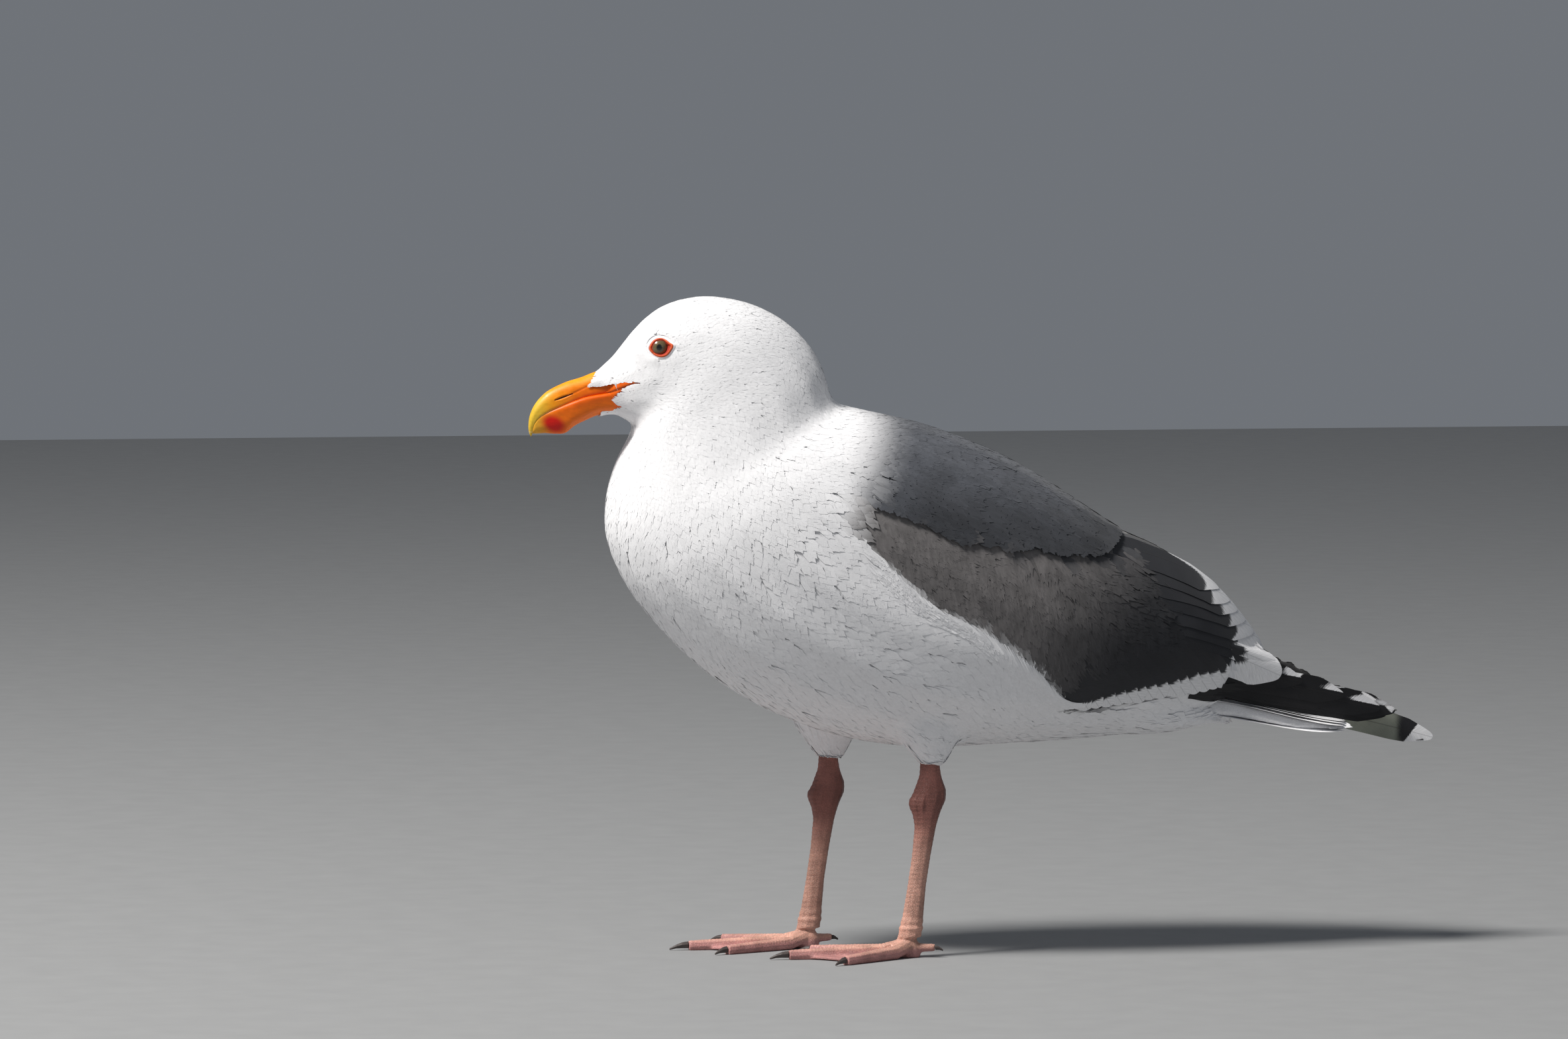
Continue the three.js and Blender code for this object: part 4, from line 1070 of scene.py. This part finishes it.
def small_feathers(body, face, rng):
    """The contour feathers in pieces by region, then the flank's locks and the small feathers of the face."""
    roots = choose_roots(body.outer, CANDIDATES, rng)
    owner = body.owner(roots)
    head, thigh, wing = (np.char.startswith(owner, name) for name in ("head", "thigh", "wing"))
    keep = ~head | (roots[:, 0] > FACE_BACK) | (roots[:, 2] < FACE_LOW)
    keep[head] &= clear_of_eyes(roots[head], lie_at(roots[head])[1])
    keep[thigh] = node_surface(*LIMBS).distance(roots[thigh]) > 0.3
    low = np.interp(roots[:, 0], COVERT_ROW_X, COVERT_ROW_Z)
    keep &= ~(wing & ((roots[:, 0] > COVERTS_END_AT) | (roots[:, 2] < low)))
    roots, owner, head, thigh, wing = (each[keep] for each in (roots, owner, head, thigh, wing))
    grey = (grey_share(roots) > 0.5) & (owner != "rump") & ~thigh & ~head
    neck = (owner == "neck") & ~grey
    rest = ~head & ~neck & ~grey
    left = roots[:, 1] < 0
    above = above_scapular_edge(roots)
    coverts = grey & wing & (above < 8) & (above_wing_low(roots) > 6)
    white = feather_material("white_feathers", sheen=0.15, roughness=0.75, drifts=0.01, grain=0.02, slope=0.9)
    dark = feather_material("mantle_web", sheen=0.1, roughness=0.65, drifts=0.16, grain=0.13, slope=1.15)
    brown = feather_material("covert_web", sheen=0.1, roughness=0.7, drifts=0.14, grain=0.2, slope=0.15)
    small = dict(columns=4, rows=2, fringe=0.1)
    plain = dict(columns=4, rows=3, fringe=0.12, wave=0.2)
    back_ways = dict(columns=6, rows=4, fringe=0.16, wave=0.1, uneven=0.02, relief=0.04, length_scale=1.1,
                     lift=scapular_lift, stop_at=above_scapular_edge)
    covert_ways = dict(columns=6, rows=4, fringe=0.22, wave=0.25, tilt=0.07, uneven=0.02, relief=0.04,
                       length_scale=1.2, stop_at=above_wing_low)
    groups = [("head_feathers", head, white, "plumage_white", small | dict(wave=0.05)),
              ("neck_feathers", neck, white, "plumage_white", plain | dict(fringe=0.1, wave=0.12)),
              ("body_feathers_left", rest & left, white, "plumage_white", plain),
              ("body_feathers_right", rest & ~left, white, "plumage_white", plain),
              ("mantle_feathers", grey & (above > 0), dark, "plumage_grey", back_ways),
              ("covert_feathers", coverts, brown, "plumage_grey", covert_ways)]
    for name, chosen, material, slot, ways in groups:
        spots = roots[chosen]
        spots = spots[np.argsort(unwrap(spots)[:, 0], kind="stable")]
        each = len(vane_faces(ways["columns"], ways["rows"])[0])
        parts = math.ceil(len(spots) * each / MOST_TRIANGLES)
        for k, part in enumerate(np.array_split(spots, parts)):
            title = f"{name}_{k + 1}" if parts > 1 else name
            contour_piece(title, body.outer, part, slot, material, rng, **ways)
    flank_locks(body, white, rng)
    roots = choose_roots(face, FACE_CANDIDATES, rng)
    roots = roots[(roots[:, 0] < FACE_BACK) & (roots[:, 2] > FACE_LOW) & ~inside(roots, BARE_FACE)]
    roots = roots[clear_of_eyes(roots, lie_at(roots)[1])]
    contour_piece("face_feathers", face, roots, "plumage_white", white, rng, wave=0.04, **small)


def scapular_lift(points):
    """How far the scapulars stand off near their lower edge, in mm."""
    near = smooth_step(26, 2, above_scapular_edge(points)) * smooth_step(-88, -66, points[:, 0])
    return 1.5 * near * smooth_step(6, 32, np.abs(points[:, 1]))


# ---------------------------------------------------------------- large feathers of wings and tail

# (x, z) of feathers' roots and tips, in the row frame
SECONDARY_TIPS = [(50, 140), (85, 145), (119, 149.5), (141, 151.5), (154, 151.5)]
SECONDARY_REACH = (-44, 44)  # from each tip back to the root
TERTIAL_STARTS = [(98, 178), (88, 192), (78, 206), (70, 220), (62, 234)]
TERTIAL_TIPS = [(167, 155.5), (161, 166), (153, 180), (143, 193), (130, 205)]
BASE_STARTS = [(111, 146), (113, 147.5), (116, 149)]
BASE_TIPS = [(150, 144), (156, 146), (160, 149)]
PRIMARY_STARTS = [(127, 149), (127, 151), (127, 154), (127, 157), (127, 160)]
PRIMARY_TIPS = {LEFT: [(233, 132), (238, 134), (228.6, 135.5), (206.5, 143.5), (181, 152.5)],
                RIGHT: [(262, 118), (257, 119.5), (243, 125), (221, 133.5), (194, 144)]}
MIRROR_FROM, MIRROR_TO = 208, 241
WEDGE_TIPS = np.array([(180.7, 155), (206.5, 146), (228, 137.2), (237.3, 134.6)])
WEDGE_WAY = np.array([math.cos(math.radians(39)), -math.sin(math.radians(39))])
WEDGE_LONG, WEDGE_WIDE = 15.0, 4.6
TAIL_FEATHERS = 12
QUILL_COLUMNS, QUILL_ROWS, FLAT_ROWS = 18, 34, 60
TIP_POWER = 2.4  # how late along its width a large feather's tip rounds off


def quill(coat, surface, start, end, toward, width, heights, colour, mark, bow=0.0, point=0.35, relief=0.12,
          lean=None, flat=False, rows=QUILL_ROWS):
    """One large feather laid on a surface from start to end, as seen along toward. heights are how far it
    stands off at its root and tip, mark(place, gap to the tip) its white mark, bow its bend to the top and
    point how pointed it is. flat lays it on a smooth line through the surface, not moulded to each bump."""
    toward = np.asarray(toward, float)
    t = np.linspace(0, 1, rows + 1)
    start, end = np.asarray(start, float), np.asarray(end, float)
    aside = unit(np.cross(end - start, toward))
    aside = aside if aside[2] > 0 or abs(aside[2]) < 0.2 else -aside
    points = start + (end - start) * t[:, None] + aside * (bow * 4 * t * (1 - t))[:, None]
    place = surface.meet(points, toward)
    for _ in range(2):
        place[1:-1] = (place[:-2] + 2 * place[1:-1] + place[2:]) / 4
    _, normal = surface.nearest(place)
    for _ in range(3):
        normal[1:-1] = unit(normal[:-2] + 2 * normal[1:-1] + normal[2:])
    if flat:
        depth = np.polyval(np.polyfit(t, place @ toward, 3), t)
        place = points + toward * (depth - points @ toward)[:, None]
        normal = np.broadcast_to(-toward, place.shape).copy()
    line = place + normal * (heights[0] + (heights[1] - heights[0]) * t)[:, None]
    length = np.linalg.norm(np.diff(line, axis=0), axis=1).sum()
    across = np.linspace(-1, 1, QUILL_COLUMNS + 1)
    sides = unit(np.cross(np.gradient(line, axis=0), normal))

    def stop(u):
        """Where along it the rounded tip ends the vane, u from the shaft."""
        return 1 - point * width / length * np.abs(u) ** TIP_POWER

    def outline(v):
        return 0.45 + 0.55 * smooth_step(0, 0.35, v) - 0.25 * smooth_step(0.8, 1.0, v)

    def settle(points, v):
        place, lie = surface.nearest(points)
        stand = heights[0] + (heights[1] - heights[0]) * v
        return place + lie * stand[..., None]

    def paint(u, v):
        place = along(line[None], v) + along(sides[None], v) * (u * outline(v) * width / 2)[..., None]
        white = mark(place, (stop(u) - v) * length)
        tone = colour(place) if callable(colour) else np.broadcast_to(colour, (*u.shape, 3))
        return np.concatenate([tone, white[..., None]], 2)

    coat.add(line[None], normal[None], np.array([width]), stop(across)[None], outline, 0.0, np.array([0.5]),
             paint, relief=relief, lean=lean, pace=1 - (1 - t) ** 1.5, settle=None if flat else settle)


def no_mark(place, gap):
    """No white anywhere."""
    return np.zeros_like(gap)


def white_end(place, gap):
    """The white ends of secondaries and tertials, along one ragged line, a little scalloped by each tip."""
    return 0.5 + (beyond_edge(place) + 0.25 * np.clip(9 - gap, -6, 9)) / 24


def far_tip(place, gap):
    """The small white tip of the far wing's longest primary."""
    return 0.5 + (place[..., 0] - 247.5 - 0.8 * (place[..., 2] - 118.7)) / 12


def mirror(place):
    """The underside of the longest primary, black with a grey mirror near its tip: partly its own grey, partly
    painted shade.
    """
    x = place[..., 0]
    pale = smooth_step(MIRROR_FROM - 4, MIRROR_FROM + 4, x) * smooth_step(MIRROR_TO + 2, MIRROR_TO - 2, x)
    # the mirror's grey is partly painted shade
    return tint(BLACK * 1.5, MIRROR_GREY_AND_SHADE, pale)


def wedges(place, gap):
    """The near wing's white wedges, one near each primary's tip, each narrow in front and blunt behind."""
    best = np.full(gap.shape, -4.0)
    for tip in WEDGE_TIPS:
        off = place[..., ::2] - tip
        ahead = -(off @ WEDGE_WAY)
        across = np.abs(off @ np.array([-WEDGE_WAY[1], WEDGE_WAY[0]]))
        half = WEDGE_WIDE / 2 * np.clip(1 - ahead / WEDGE_LONG, 0, 1) ** 0.7
        best = np.maximum(best, np.minimum(half - across, np.minimum(ahead, WEDGE_LONG - ahead)))
    return 0.5 + best / 8


def flat_point(place, side):
    """A place (x, z) of the side view, out on one side of the body."""
    return np.array([place[0], side * 20.0, place[1]])


def make_wing(side, name, body, closed, web, rng):
    """The long feathers of one wing, laid on the body, or on closed, the body with the primaries' slabs."""
    inward = np.array([0.0, -side, 0.0])

    def row(piece, slot, starts, tips, width, heights, colour, mark, surface=body.outer, **ways):
        """One piece of a row of feathers. heights are the root's, the first tip's and the last tip's."""
        coat = Coat()
        for k, (start, tip) in enumerate(zip(starts, tips)):
            share = k / max(len(tips) - 1, 1)
            lift = (heights[0], heights[1] + (heights[2] - heights[1]) * share)
            tone = colour * rng.uniform(0.97, 1.03)
            tip = np.asarray(tip) + rng.uniform(-0.8, 0.8, 2)
            wide = width * rng.uniform(0.93, 1.07)
            quill(coat, surface, flat_point(start, side), flat_point(tip, side), inward, wide, lift, tone,
                  mark, lean=rng.normal(0, 0.012, (1, 3)), relief=0.05, **ways)
        coat.piece(f"{piece}_{name}", web, slot, atlas=True)

    secondaries = spread_between(SECONDARY_TIPS, 17)
    row("primary_bases", "plumage_black", BASE_STARTS, BASE_TIPS, 7, (0.2, 0.8, 1.0), BLACK, no_mark,
        surface=closed)
    row("secondaries", "plumage_grey", secondaries + SECONDARY_REACH, secondaries, 14, (-1.5, 0.4, 1.8),
        WING_GREY, white_end, bow=2)
    row("tertials", "plumage_grey", spread_between(TERTIAL_STARTS, 9), spread_between(TERTIAL_TIPS, 9), 27,
        (-1.2, 2.2, 2.6), WING_GREY, white_end, surface=closed, bow=4, point=0.6)
    slab = node_surface("primaries_" + name)
    for facing, layer in ((side, "outer"), (-side, "inner")):
        coat = Coat()
        lining = 1.0 if layer == "outer" else 1.5
        for k, (start, tip) in enumerate(zip(PRIMARY_STARTS, PRIMARY_TIPS[side])):
            height = 0.3 + 0.25 * (k if layer == "outer" else 4 - k)
            mark = far_tip if side == RIGHT and k < 2 else (no_mark if layer == "inner" else wedges)
            web_colour = mirror if (k, layer) == (0, "inner") else BLACK * lining
            quill(coat, slab, flat_point(start, side), flat_point(tip, side), (0, -facing, 0), 15,
                  (0.2, height), web_colour, mark, bow=1.5, point=1.1, flat=True, rows=FLAT_ROWS)
        coat.piece(f"primary_feathers_{name}_{layer}", web, "plumage_black", atlas=True)


def make_tail(web):
    """The tail's feathers above, and the same seen from below."""
    slab = node_surface("tail")
    middle = (TAIL_FEATHERS - 1) / 2
    for layer, down in (("upper", -1.0), ("under", 1.0)):
        coat = Coat()
        for k in sorted(range(TAIL_FEATHERS), key=lambda k: abs(k - middle) * down):
            spread = (k - middle) / middle
            lift = 0.2 + 0.12 * (middle - abs(k - middle) if layer == "upper" else abs(k - middle))
            tip = (208.5 - 5 * spread ** 2, 24.0 * spread, 128)
            quill(coat, slab, (124, 12 * spread, 136), tip, (0, 0, down), 13, (0.1, lift), WHITE, no_mark,
                  point=0.6, flat=True)
        coat.piece("tail_feathers_" + layer, web, "tail_white", atlas=True)


# ---------------------------------------------------------------- bill, eyes and claws

BILL_YELLOW = linear(250, 168, 20)
BILL_ORANGE = linear(240, 112, 0)
BILL_DEEP = linear(232, 90, 0)
BILL_TIP = linear(222, 182, 52)
BILL_RED = linear(214, 18, 0)
TOMIUM = linear(236, 206, 150)
# each mandible from the face to its tip: its upper line (x, z), its lower line (x, z) and half its width
UPPER_BILL = np.array([
    (-210, 335, -212, 322, 7.8), (-224.6, 332.5, -223, 318.9, 7.4), (-234, 329.1, -232.1, 317.2, 6.9),
    (-243, 326.4, -240, 314.3, 6.3), (-252.2, 322.1, -250, 310.6, 5.4), (-257.3, 318, -255, 308.3, 4.7),
    (-261.2, 313, -258.3, 306.2, 3.9), (-263.6, 307.3, -260.3, 303.8, 3.0), (-264.3, 301.5, -261.4, 301, 2.1),
    (-263.9, 297.9, -262, 297.9, 1.2), (-263, 295.8, -262.8, 295.8, 0.15)])
LOWER_BILL = np.array([
    (-210, 322, -214, 307.9, 7.2), (-223, 320, -224, 307.7, 6.9), (-232, 318.4, -233, 304.2, 6.4),
    (-238, 316.5, -238.3, 301.5, 5.9), (-242, 315, -243.4, 297.7, 5.3), (-248, 312.4, -249, 297.3, 4.5),
    (-253.5, 310, -254.8, 297.7, 3.6), (-258, 307.5, -258.8, 297.5, 2.8), (-261, 303.5, -261.6, 297.6, 2.0),
    (-262.6, 300.5, -262.7, 298.5, 0.6)])
BILL_RINGS, BILL_SIDES = 190, 140
TOMIAL_LINE = np.array([(-262, 297.9), (-261.4, 301), (-258.3, 306.2), (-255, 308.3), (-250, 310.6),
                        (-240, 314.3), (-232.1, 317.2), (-223, 319), (-215, 322.4), (-204.2, 327)])
NOSTRIL = np.array([(-250.0, 316.4), (-240.0, 320.0)])
SUTURE = np.array([(-240.0, 320.0), (-232.0, 323.9)])
SPOT, SPOT_SIZE = np.array([-250.6, 303.0]), np.array([6.6, 5.6])
# painted shade in the nostril's slit, which is only a shallow dent
NOSTRIL_PAINTED_SHADE = linear(40, 18, 8)
GAPE_RED = linear(230, 88, 14)
GAPE_EDGE = BARE_FACE[2:13]
TURN_STEPS = 4001  # fine steps round a section of the bill, before its sides are spaced evenly


def mandible(stations, top_power, low_power, narrowing):
    """A closed loft: its powers make a section round or square above and below, and narrowing slims it."""
    rings = smooth_curve(stations, BILL_RINGS)
    turn = np.linspace(0, 2 * math.pi, TURN_STEPS)
    c, s = np.cos(turn), np.sin(turn)
    power = np.where(c > 0, top_power, low_power)
    rise = np.sign(c) * np.abs(c) ** (2 / power)
    out = np.sign(s) * np.abs(s) ** (2 / power) * (1 - narrowing * (1 + rise) / 2)
    walked = np.r_[0, np.cumsum(np.hypot(np.diff(rise), np.diff(out)))]
    even = np.linspace(0, walked[-1], BILL_SIDES, endpoint=False)
    rise, out = np.interp(even, walked, rise), np.interp(even, walked, out)
    middle = (rings[:, 0:2] + rings[:, 2:4]) / 2
    half = (rings[:, 0:2] - rings[:, 2:4]) / 2
    flat = middle[:, None] + half[:, None] * rise[None, :, None]
    verts = np.stack([flat[..., 0], rings[:, 4, None] * out, flat[..., 1]], 2).reshape(-1, 3)
    last = (BILL_RINGS - 1) * BILL_SIDES
    caps = [(0, k + 1, k) for k in range(1, BILL_SIDES - 1)]
    caps += [(last, last + k, last + k + 1) for k in range(1, BILL_SIDES - 1)]
    tris = np.r_[halves(*ring_corners(BILL_RINGS, BILL_SIDES)), caps]
    return verts, facing_out(verts, tris, verts.mean(0))


def bill_paint(verts, normals, lower):
    """The bill's colours: orange with a yellow ridge and tip, a red spot below, and painted shade in the
    nostril's slit above.
    """
    flat = verts[:, ::2]
    x, z = flat.T
    edge = z - np.interp(x, TOMIAL_LINE[:, 0], TOMIAL_LINE[:, 1])
    ridge = smooth_step(0.0, 0.85, normals[:, 2]) * (not lower)
    front = smooth_step(-232, -256, x)
    colour = tint(BILL_ORANGE, BILL_YELLOW, np.maximum(0.8 * ridge, 0.75 * front * (not lower)))
    colour = tint(colour, BILL_DEEP, np.exp(-(edge / 3.2) ** 2) * smooth_step(-252, -236, x) * 0.7)
    colour = tint(colour, BILL_TIP, smooth_step(-249, -261, x) * (1 - 0.3 * lower))
    off = flat - SPOT
    off = np.stack([off[:, 0] + 0.45 * off[:, 1], off[:, 1]], 1)
    colour = tint(colour, BILL_RED, smooth_step(1.25, 0.45, np.sqrt(((off / SPOT_SIZE) ** 2).sum(1))) * lower)
    pale = np.exp(-((edge - 0.5) / 0.45) ** 2) * smooth_step(-240, -250, x) * 0.5 * (not lower)
    colour = tint(colour, TOMIUM, pale)
    if not lower:
        seam = np.exp(-(segment_gap(flat, *SUTURE)[1] / 0.5) ** 2) * 0.35
        colour = tint(colour, BILL_DEEP * 0.7, seam)
        # painted shade in the nostril's slit
        colour = tint(colour, NOSTRIL_PAINTED_SHADE, smooth_step(1.0, 0.55, nostril_gap(flat)))
    return colour


def nostril_gap(flat):
    """1 at the rim of the thin slit of the nostril and less inside it."""
    t, gap = segment_gap(flat, *NOSTRIL)
    return gap / (0.2 + 0.4 * np.sin(math.pi * t ** 0.7) ** 0.8)


def make_bill(face):
    """The two mandibles, closed on each other, and the soft gape on the face behind them."""
    horn = horn_material("bill_horn", roughness=0.42, coat=0.05)
    for node, stations, shape in (("bill_upper", UPPER_BILL, (2.1, 5.0, 0.2)),
                                  ("bill_lower", LOWER_BILL, (6.0, 2.2, -0.35))):
        verts, tris = mandible(stations, *shape)
        normals = vertex_normals(verts, tris)
        lower = node == "bill_lower"
        paint = bill_paint(verts, normals, lower)
        if not lower:
            flat = verts[:, ::2]
            sideways = smooth_step(0.3, 0.5, np.abs(normals[:, 1]))
            gap = nostril_gap(flat)
            dent = smooth_step(1.3, 0.4, gap) * 0.6 - 0.08 * np.exp(-((gap - 2.2) / 0.7) ** 2)
            dent += 0.22 * np.exp(-(segment_gap(flat, *SUTURE)[1] / 0.6) ** 2)
            verts = verts - normals * (dent * sideways)[:, None]
            extra, extra_tris, extra_paint = gape_skin(face)
            tris = np.r_[tris, extra_tris + len(verts)]
            verts, paint = np.r_[verts, extra], np.r_[paint, extra_paint]
        make_piece(node + "_horn", verts, tris, [horn], paint, [node])


def gape_skin(face):
    """The bare orange skin between the bill and the corner of the mouth, with the mouth's line pressed in and
    painted shade along it.
    """
    centre = face.verts[face.tris].mean(1)
    near = inside(centre, BARE_FACE) | (broken_line_gap(centre[:, ::2], GAPE_EDGE) < 1.6)
    tris = face.tris[near & (centre[:, 0] > -226) & (np.abs(centre[:, 1]) > 5.5)]
    used, tris = np.unique(tris, return_inverse=True)
    verts, normals = face.verts[used], face.normals[used]
    gap = broken_line_gap(verts[:, ::2], TOMIAL_LINE)
    crease = np.exp(-(gap / 0.7) ** 2) * smooth_step(-203, -207, verts[:, 0])
    ahead = smooth_step(-215, -225, verts[:, 0])
    covered = ~inside(verts, BARE_FACE) * broken_line_gap(verts[:, ::2], GAPE_EDGE)
    verts = verts - normals * (0.1 + 0.7 * crease + 3.0 * ahead + 0.5 * covered)[:, None]
    paint = tint(BILL_ORANGE, GAPE_RED, smooth_step(-226, -212, verts[:, 0]) * 0.6)
    # painted shade darkens the pressed-in line of the mouth
    return verts, tris.reshape(-1, 3), paint * (1 - 0.55 * crease)[:, None]


IRIS = linear(104, 88, 58)
IRIS_RIM = linear(44, 36, 26)
PUPIL = linear(8, 7, 7)
PUPIL_ANGLE = 13.5  # degrees from the middle of the eye
RING = linear(232, 98, 40)
# the ring's inner edge: partly the lid's darker rim and partly painted shade where it turns in toward the eye
RING_RIM_AND_SHADE = linear(170, 44, 22)
RING_STEPS, RING_ROUND, SHEET_STEPS = 128, 16, 14


def make_eyes(surface):
    """The eyeballs, and the bare rings with their lids round them."""
    gloss, lid = eye_material(), lid_material()
    for side, name in ((LEFT, "left"), (RIGHT, "right")):
        centre, radius = eye_centre(side)
        look = unit(np.array([-0.16, side * 1.0, 0.05]))
        bm = bmesh.new()
        bmesh.ops.create_icosphere(bm, subdivisions=5, radius=1.0)
        ball = np.array([v.co for v in bm.verts], float)
        tris = np.array([[v.index for v in f.verts] for f in bm.faces])
        bm.free()
        angle = np.degrees(np.arccos(np.clip(ball @ look, -1, 1)))
        upright = ball[:, 2] - look[2]
        sine = np.maximum(np.sin(np.radians(np.maximum(angle, 1))), 1e-3)
        pupil = PUPIL_ANGLE + 2.0 * np.abs(upright / sine)
        colour = tint(IRIS, IRIS_RIM, smooth_step(37, 46, angle))
        colour = tint(colour, PUPIL, smooth_step(pupil + 0.8, pupil - 0.8, angle))
        bulge = 1 + 0.03 * smooth_step(45, 10, angle) - 0.13 * smooth_step(46, 64, angle)
        make_piece("eyeball_" + name, centre + ball * (radius * bulge)[:, None], tris, [gloss], colour,
                   ["eye_" + name])
        verts, tris, edge = orbital_ring(surface, centre, radius, side)
        # darker red on the ring's inward side: partly its rim and partly painted shade
        paint = tint(RING, RING_RIM_AND_SHADE, smooth_step(0.25, 0.9, edge))
        sheet, sheet_tris, sheet_paint = lid_sheet(surface, centre, radius, side)
        make_piece("orbital_ring_" + name, np.r_[verts, sheet], np.r_[tris, sheet_tris + len(verts)], [lid],
                   np.r_[paint, sheet_paint], ["eyelid_" + name])


def cheek_places(surface, centre, radius, side, across, up):
    """Places and normals on the face as it would be with no eye in it, from a curved sheet fitted round it."""
    t = np.linspace(0, 2 * math.pi, 40, endpoint=False)
    round_x, round_z = np.r_[8.4 * np.cos(t), 10.5 * np.cos(t)], np.r_[7.4 * np.sin(t), 9.5 * np.sin(t)]
    around = np.stack([centre[0] + round_x, 0 * round_x, centre[2] + round_z], 1)
    hits = surface.meet(around, np.array([0.0, -side, 0.0]))[:, 1]

    def terms(x, z):
        return np.stack([np.ones_like(x), x, z, x * x, x * z, z * z], 1)

    fit = np.linalg.lstsq(terms(round_x, round_z), hits, rcond=None)[0]
    y = terms(across, up) @ fit
    ball = np.sqrt(np.maximum(radius ** 2 - across ** 2 - up ** 2, 0))
    y = side * np.maximum(side * y, side * centre[1] + ball - 0.25)
    slope_x = fit[1] + 2 * fit[3] * across + fit[4] * up
    slope_z = fit[2] + fit[4] * across + 2 * fit[5] * up
    normal = unit(np.stack([-slope_x, np.ones_like(y), -slope_z], 1)) * side
    return np.stack([centre[0] + across, y, centre[2] + up], 1), normal


def almond():
    """The ring's middle line: angles, how near each is to the rear and the front point, and its shape."""
    t = np.linspace(0, 2 * math.pi, RING_STEPS, endpoint=False)
    point = np.exp(-(np.minimum(t, 2 * math.pi - t) / 0.36) ** 2)
    front = np.exp(-((t - math.pi) / 0.4) ** 2)
    across = 4.85 * np.cos(t) + 1.1 * point - 0.4 * front
    up = 4.6 * np.sin(t) + 0.9 * point - 0.35 * front
    return t, point, front, across, up


def lid_sheet(surface, centre, radius, side):
    """Bare skin from the corner of the eye out under the ring to the feathers."""
    _, point, _, across, up = almond()
    inner = 0.72 - 0.08 * point
    share = inner + (1.5 - inner) * np.linspace(0, 1, SHEET_STEPS)[:, None]
    tucked = smooth_step(0.2, 0.0, share - inner).ravel()
    across, up, share = (across * share).ravel(), (up * share).ravel(), share.ravel()
    seat, normal = cheek_places(surface, centre, radius, side, across, up)
    verts = seat + normal * (0.35 - 0.75 * smooth_step(1.15, 1.5, share))[:, None]
    ball = side * centre[1] + np.sqrt(np.maximum(radius ** 2 - across ** 2 - up ** 2, 0)) - 0.4
    verts[:, 1] = verts[:, 1] * (1 - tucked) + side * ball * tucked
    corners = ring_corners(SHEET_STEPS, RING_STEPS)
    tris = halves(*(corners if side == LEFT else corners[::-1]))
    # the bare skin under the ring: its darker rim and painted shade near the eye, white out under the feathers
    return verts, tris, tint(RING_RIM_AND_SHADE, WHITE, smooth_step(1.1, 1.25, share))


def orbital_ring(surface, centre, radius, side):
    """A soft lidded ring, almond-shaped with its point behind, laid on the face round the eye. Also gives 1
    at its inner edge and 0 outside."""
    t, point, front, across, up = almond()
    seat, normal = cheek_places(surface, centre, radius, side, across, up)
    heading = unit(np.roll(seat, -1, 0) - np.roll(seat, 1, 0))
    inward = unit(np.cross(heading, normal))
    inward *= np.sign(((centre - seat) * inward).sum(1))[:, None]
    turn = np.linspace(0, 2 * math.pi, RING_ROUND, endpoint=False)
    wide = 0.64 + 0.35 * point + 0.3 * front
    wrinkle = 1 + 0.05 * np.sin(t * 31) + 0.05 * np.sin(t * 19 + 1)
    out = np.sin(turn)[None] * 0.75 * wrinkle[:, None] + 0.15
    reach = np.cos(turn)[None] * wide[:, None]
    dip = 0.5 * np.maximum(np.cos(turn), 0)[None] ** 2
    verts = seat[:, None] + inward[:, None] * reach[..., None] + normal[:, None] * (out - dip)[..., None]
    tris = halves(*ring_corners(RING_STEPS, RING_ROUND, closed=True))
    middle = verts.mean(1)[tris[:, 0] // RING_ROUND]
    verts = verts.reshape(-1, 3)
    return verts, facing_out(verts, tris, middle), np.tile(np.cos(turn) / 2 + 0.5, RING_STEPS)


CLAW = linear(74, 66, 64)


def make_claws():
    """Each claw of the CAD in horn, a little uneven in tone."""
    horn = horn_material("claw_horn", roughness=0.4, coat=0.1)
    for node in sorted(NODES):
        if node.startswith("claw_"):
            verts, tris = remeshed([node], voxel=0.3, grow=0.4, rounds=3)
            shade = 1 + 0.15 * np.sin(verts[:, 0] * 0.9) * np.cos(verts[:, 1] * 0.7 + verts[:, 2])
            make_piece(node + "_horn", verts, tris, [horn], CLAW * shade[:, None], [node])


# ---------------------------------------------------------------- build

def core(node, inset, colour, material):
    """The solid under flat feathers, a little inside them."""
    verts, tris = remeshed([node], voxel=1.4, grow=0.0, rounds=2)
    verts = verts - vertex_normals(verts, tris) * inset
    make_piece(node + "_core", verts, tris, [material], np.tile(colour, (len(verts), 1)), [node])


def build():
    """The whole scene, in the order that the seeded random draws are taken."""
    rng = np.random.default_rng(SEED)
    camera()
    studio()
    body = Body()
    face = Surface(*remeshed(["head", "bill_upper", "bill_lower"], voxel=0.7, grow=0.3, rounds=40))
    make_skin(body)
    small_feathers(body, face, rng)
    web = quill_material("flight_feathers", roughness=0.5)
    closed = Surface(*remeshed(FLESH + ["primaries_left", "primaries_right"], voxel=1.8, grow=0.4, rounds=20))
    core("tail", 0.5, WHITE, down_material())
    for side, name in ((LEFT, "left"), (RIGHT, "right")):
        core("primaries_" + name, 0.5, BLACK, down_material())
        make_wing(side, name, body, closed, web, rng)
    make_tail(web)
    make_bill(face)
    make_eyes(face)
    make_claws()
    bpy.context.view_layer.update()
    {"cad": numbers(CAD_BOX), "visual": numbers(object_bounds())}


def numbers(value):
    """Vectors as plain lists of numbers."""
    if isinstance(value, (int, float)):
        return float(value)
    return [numbers(v) for v in value]


build()
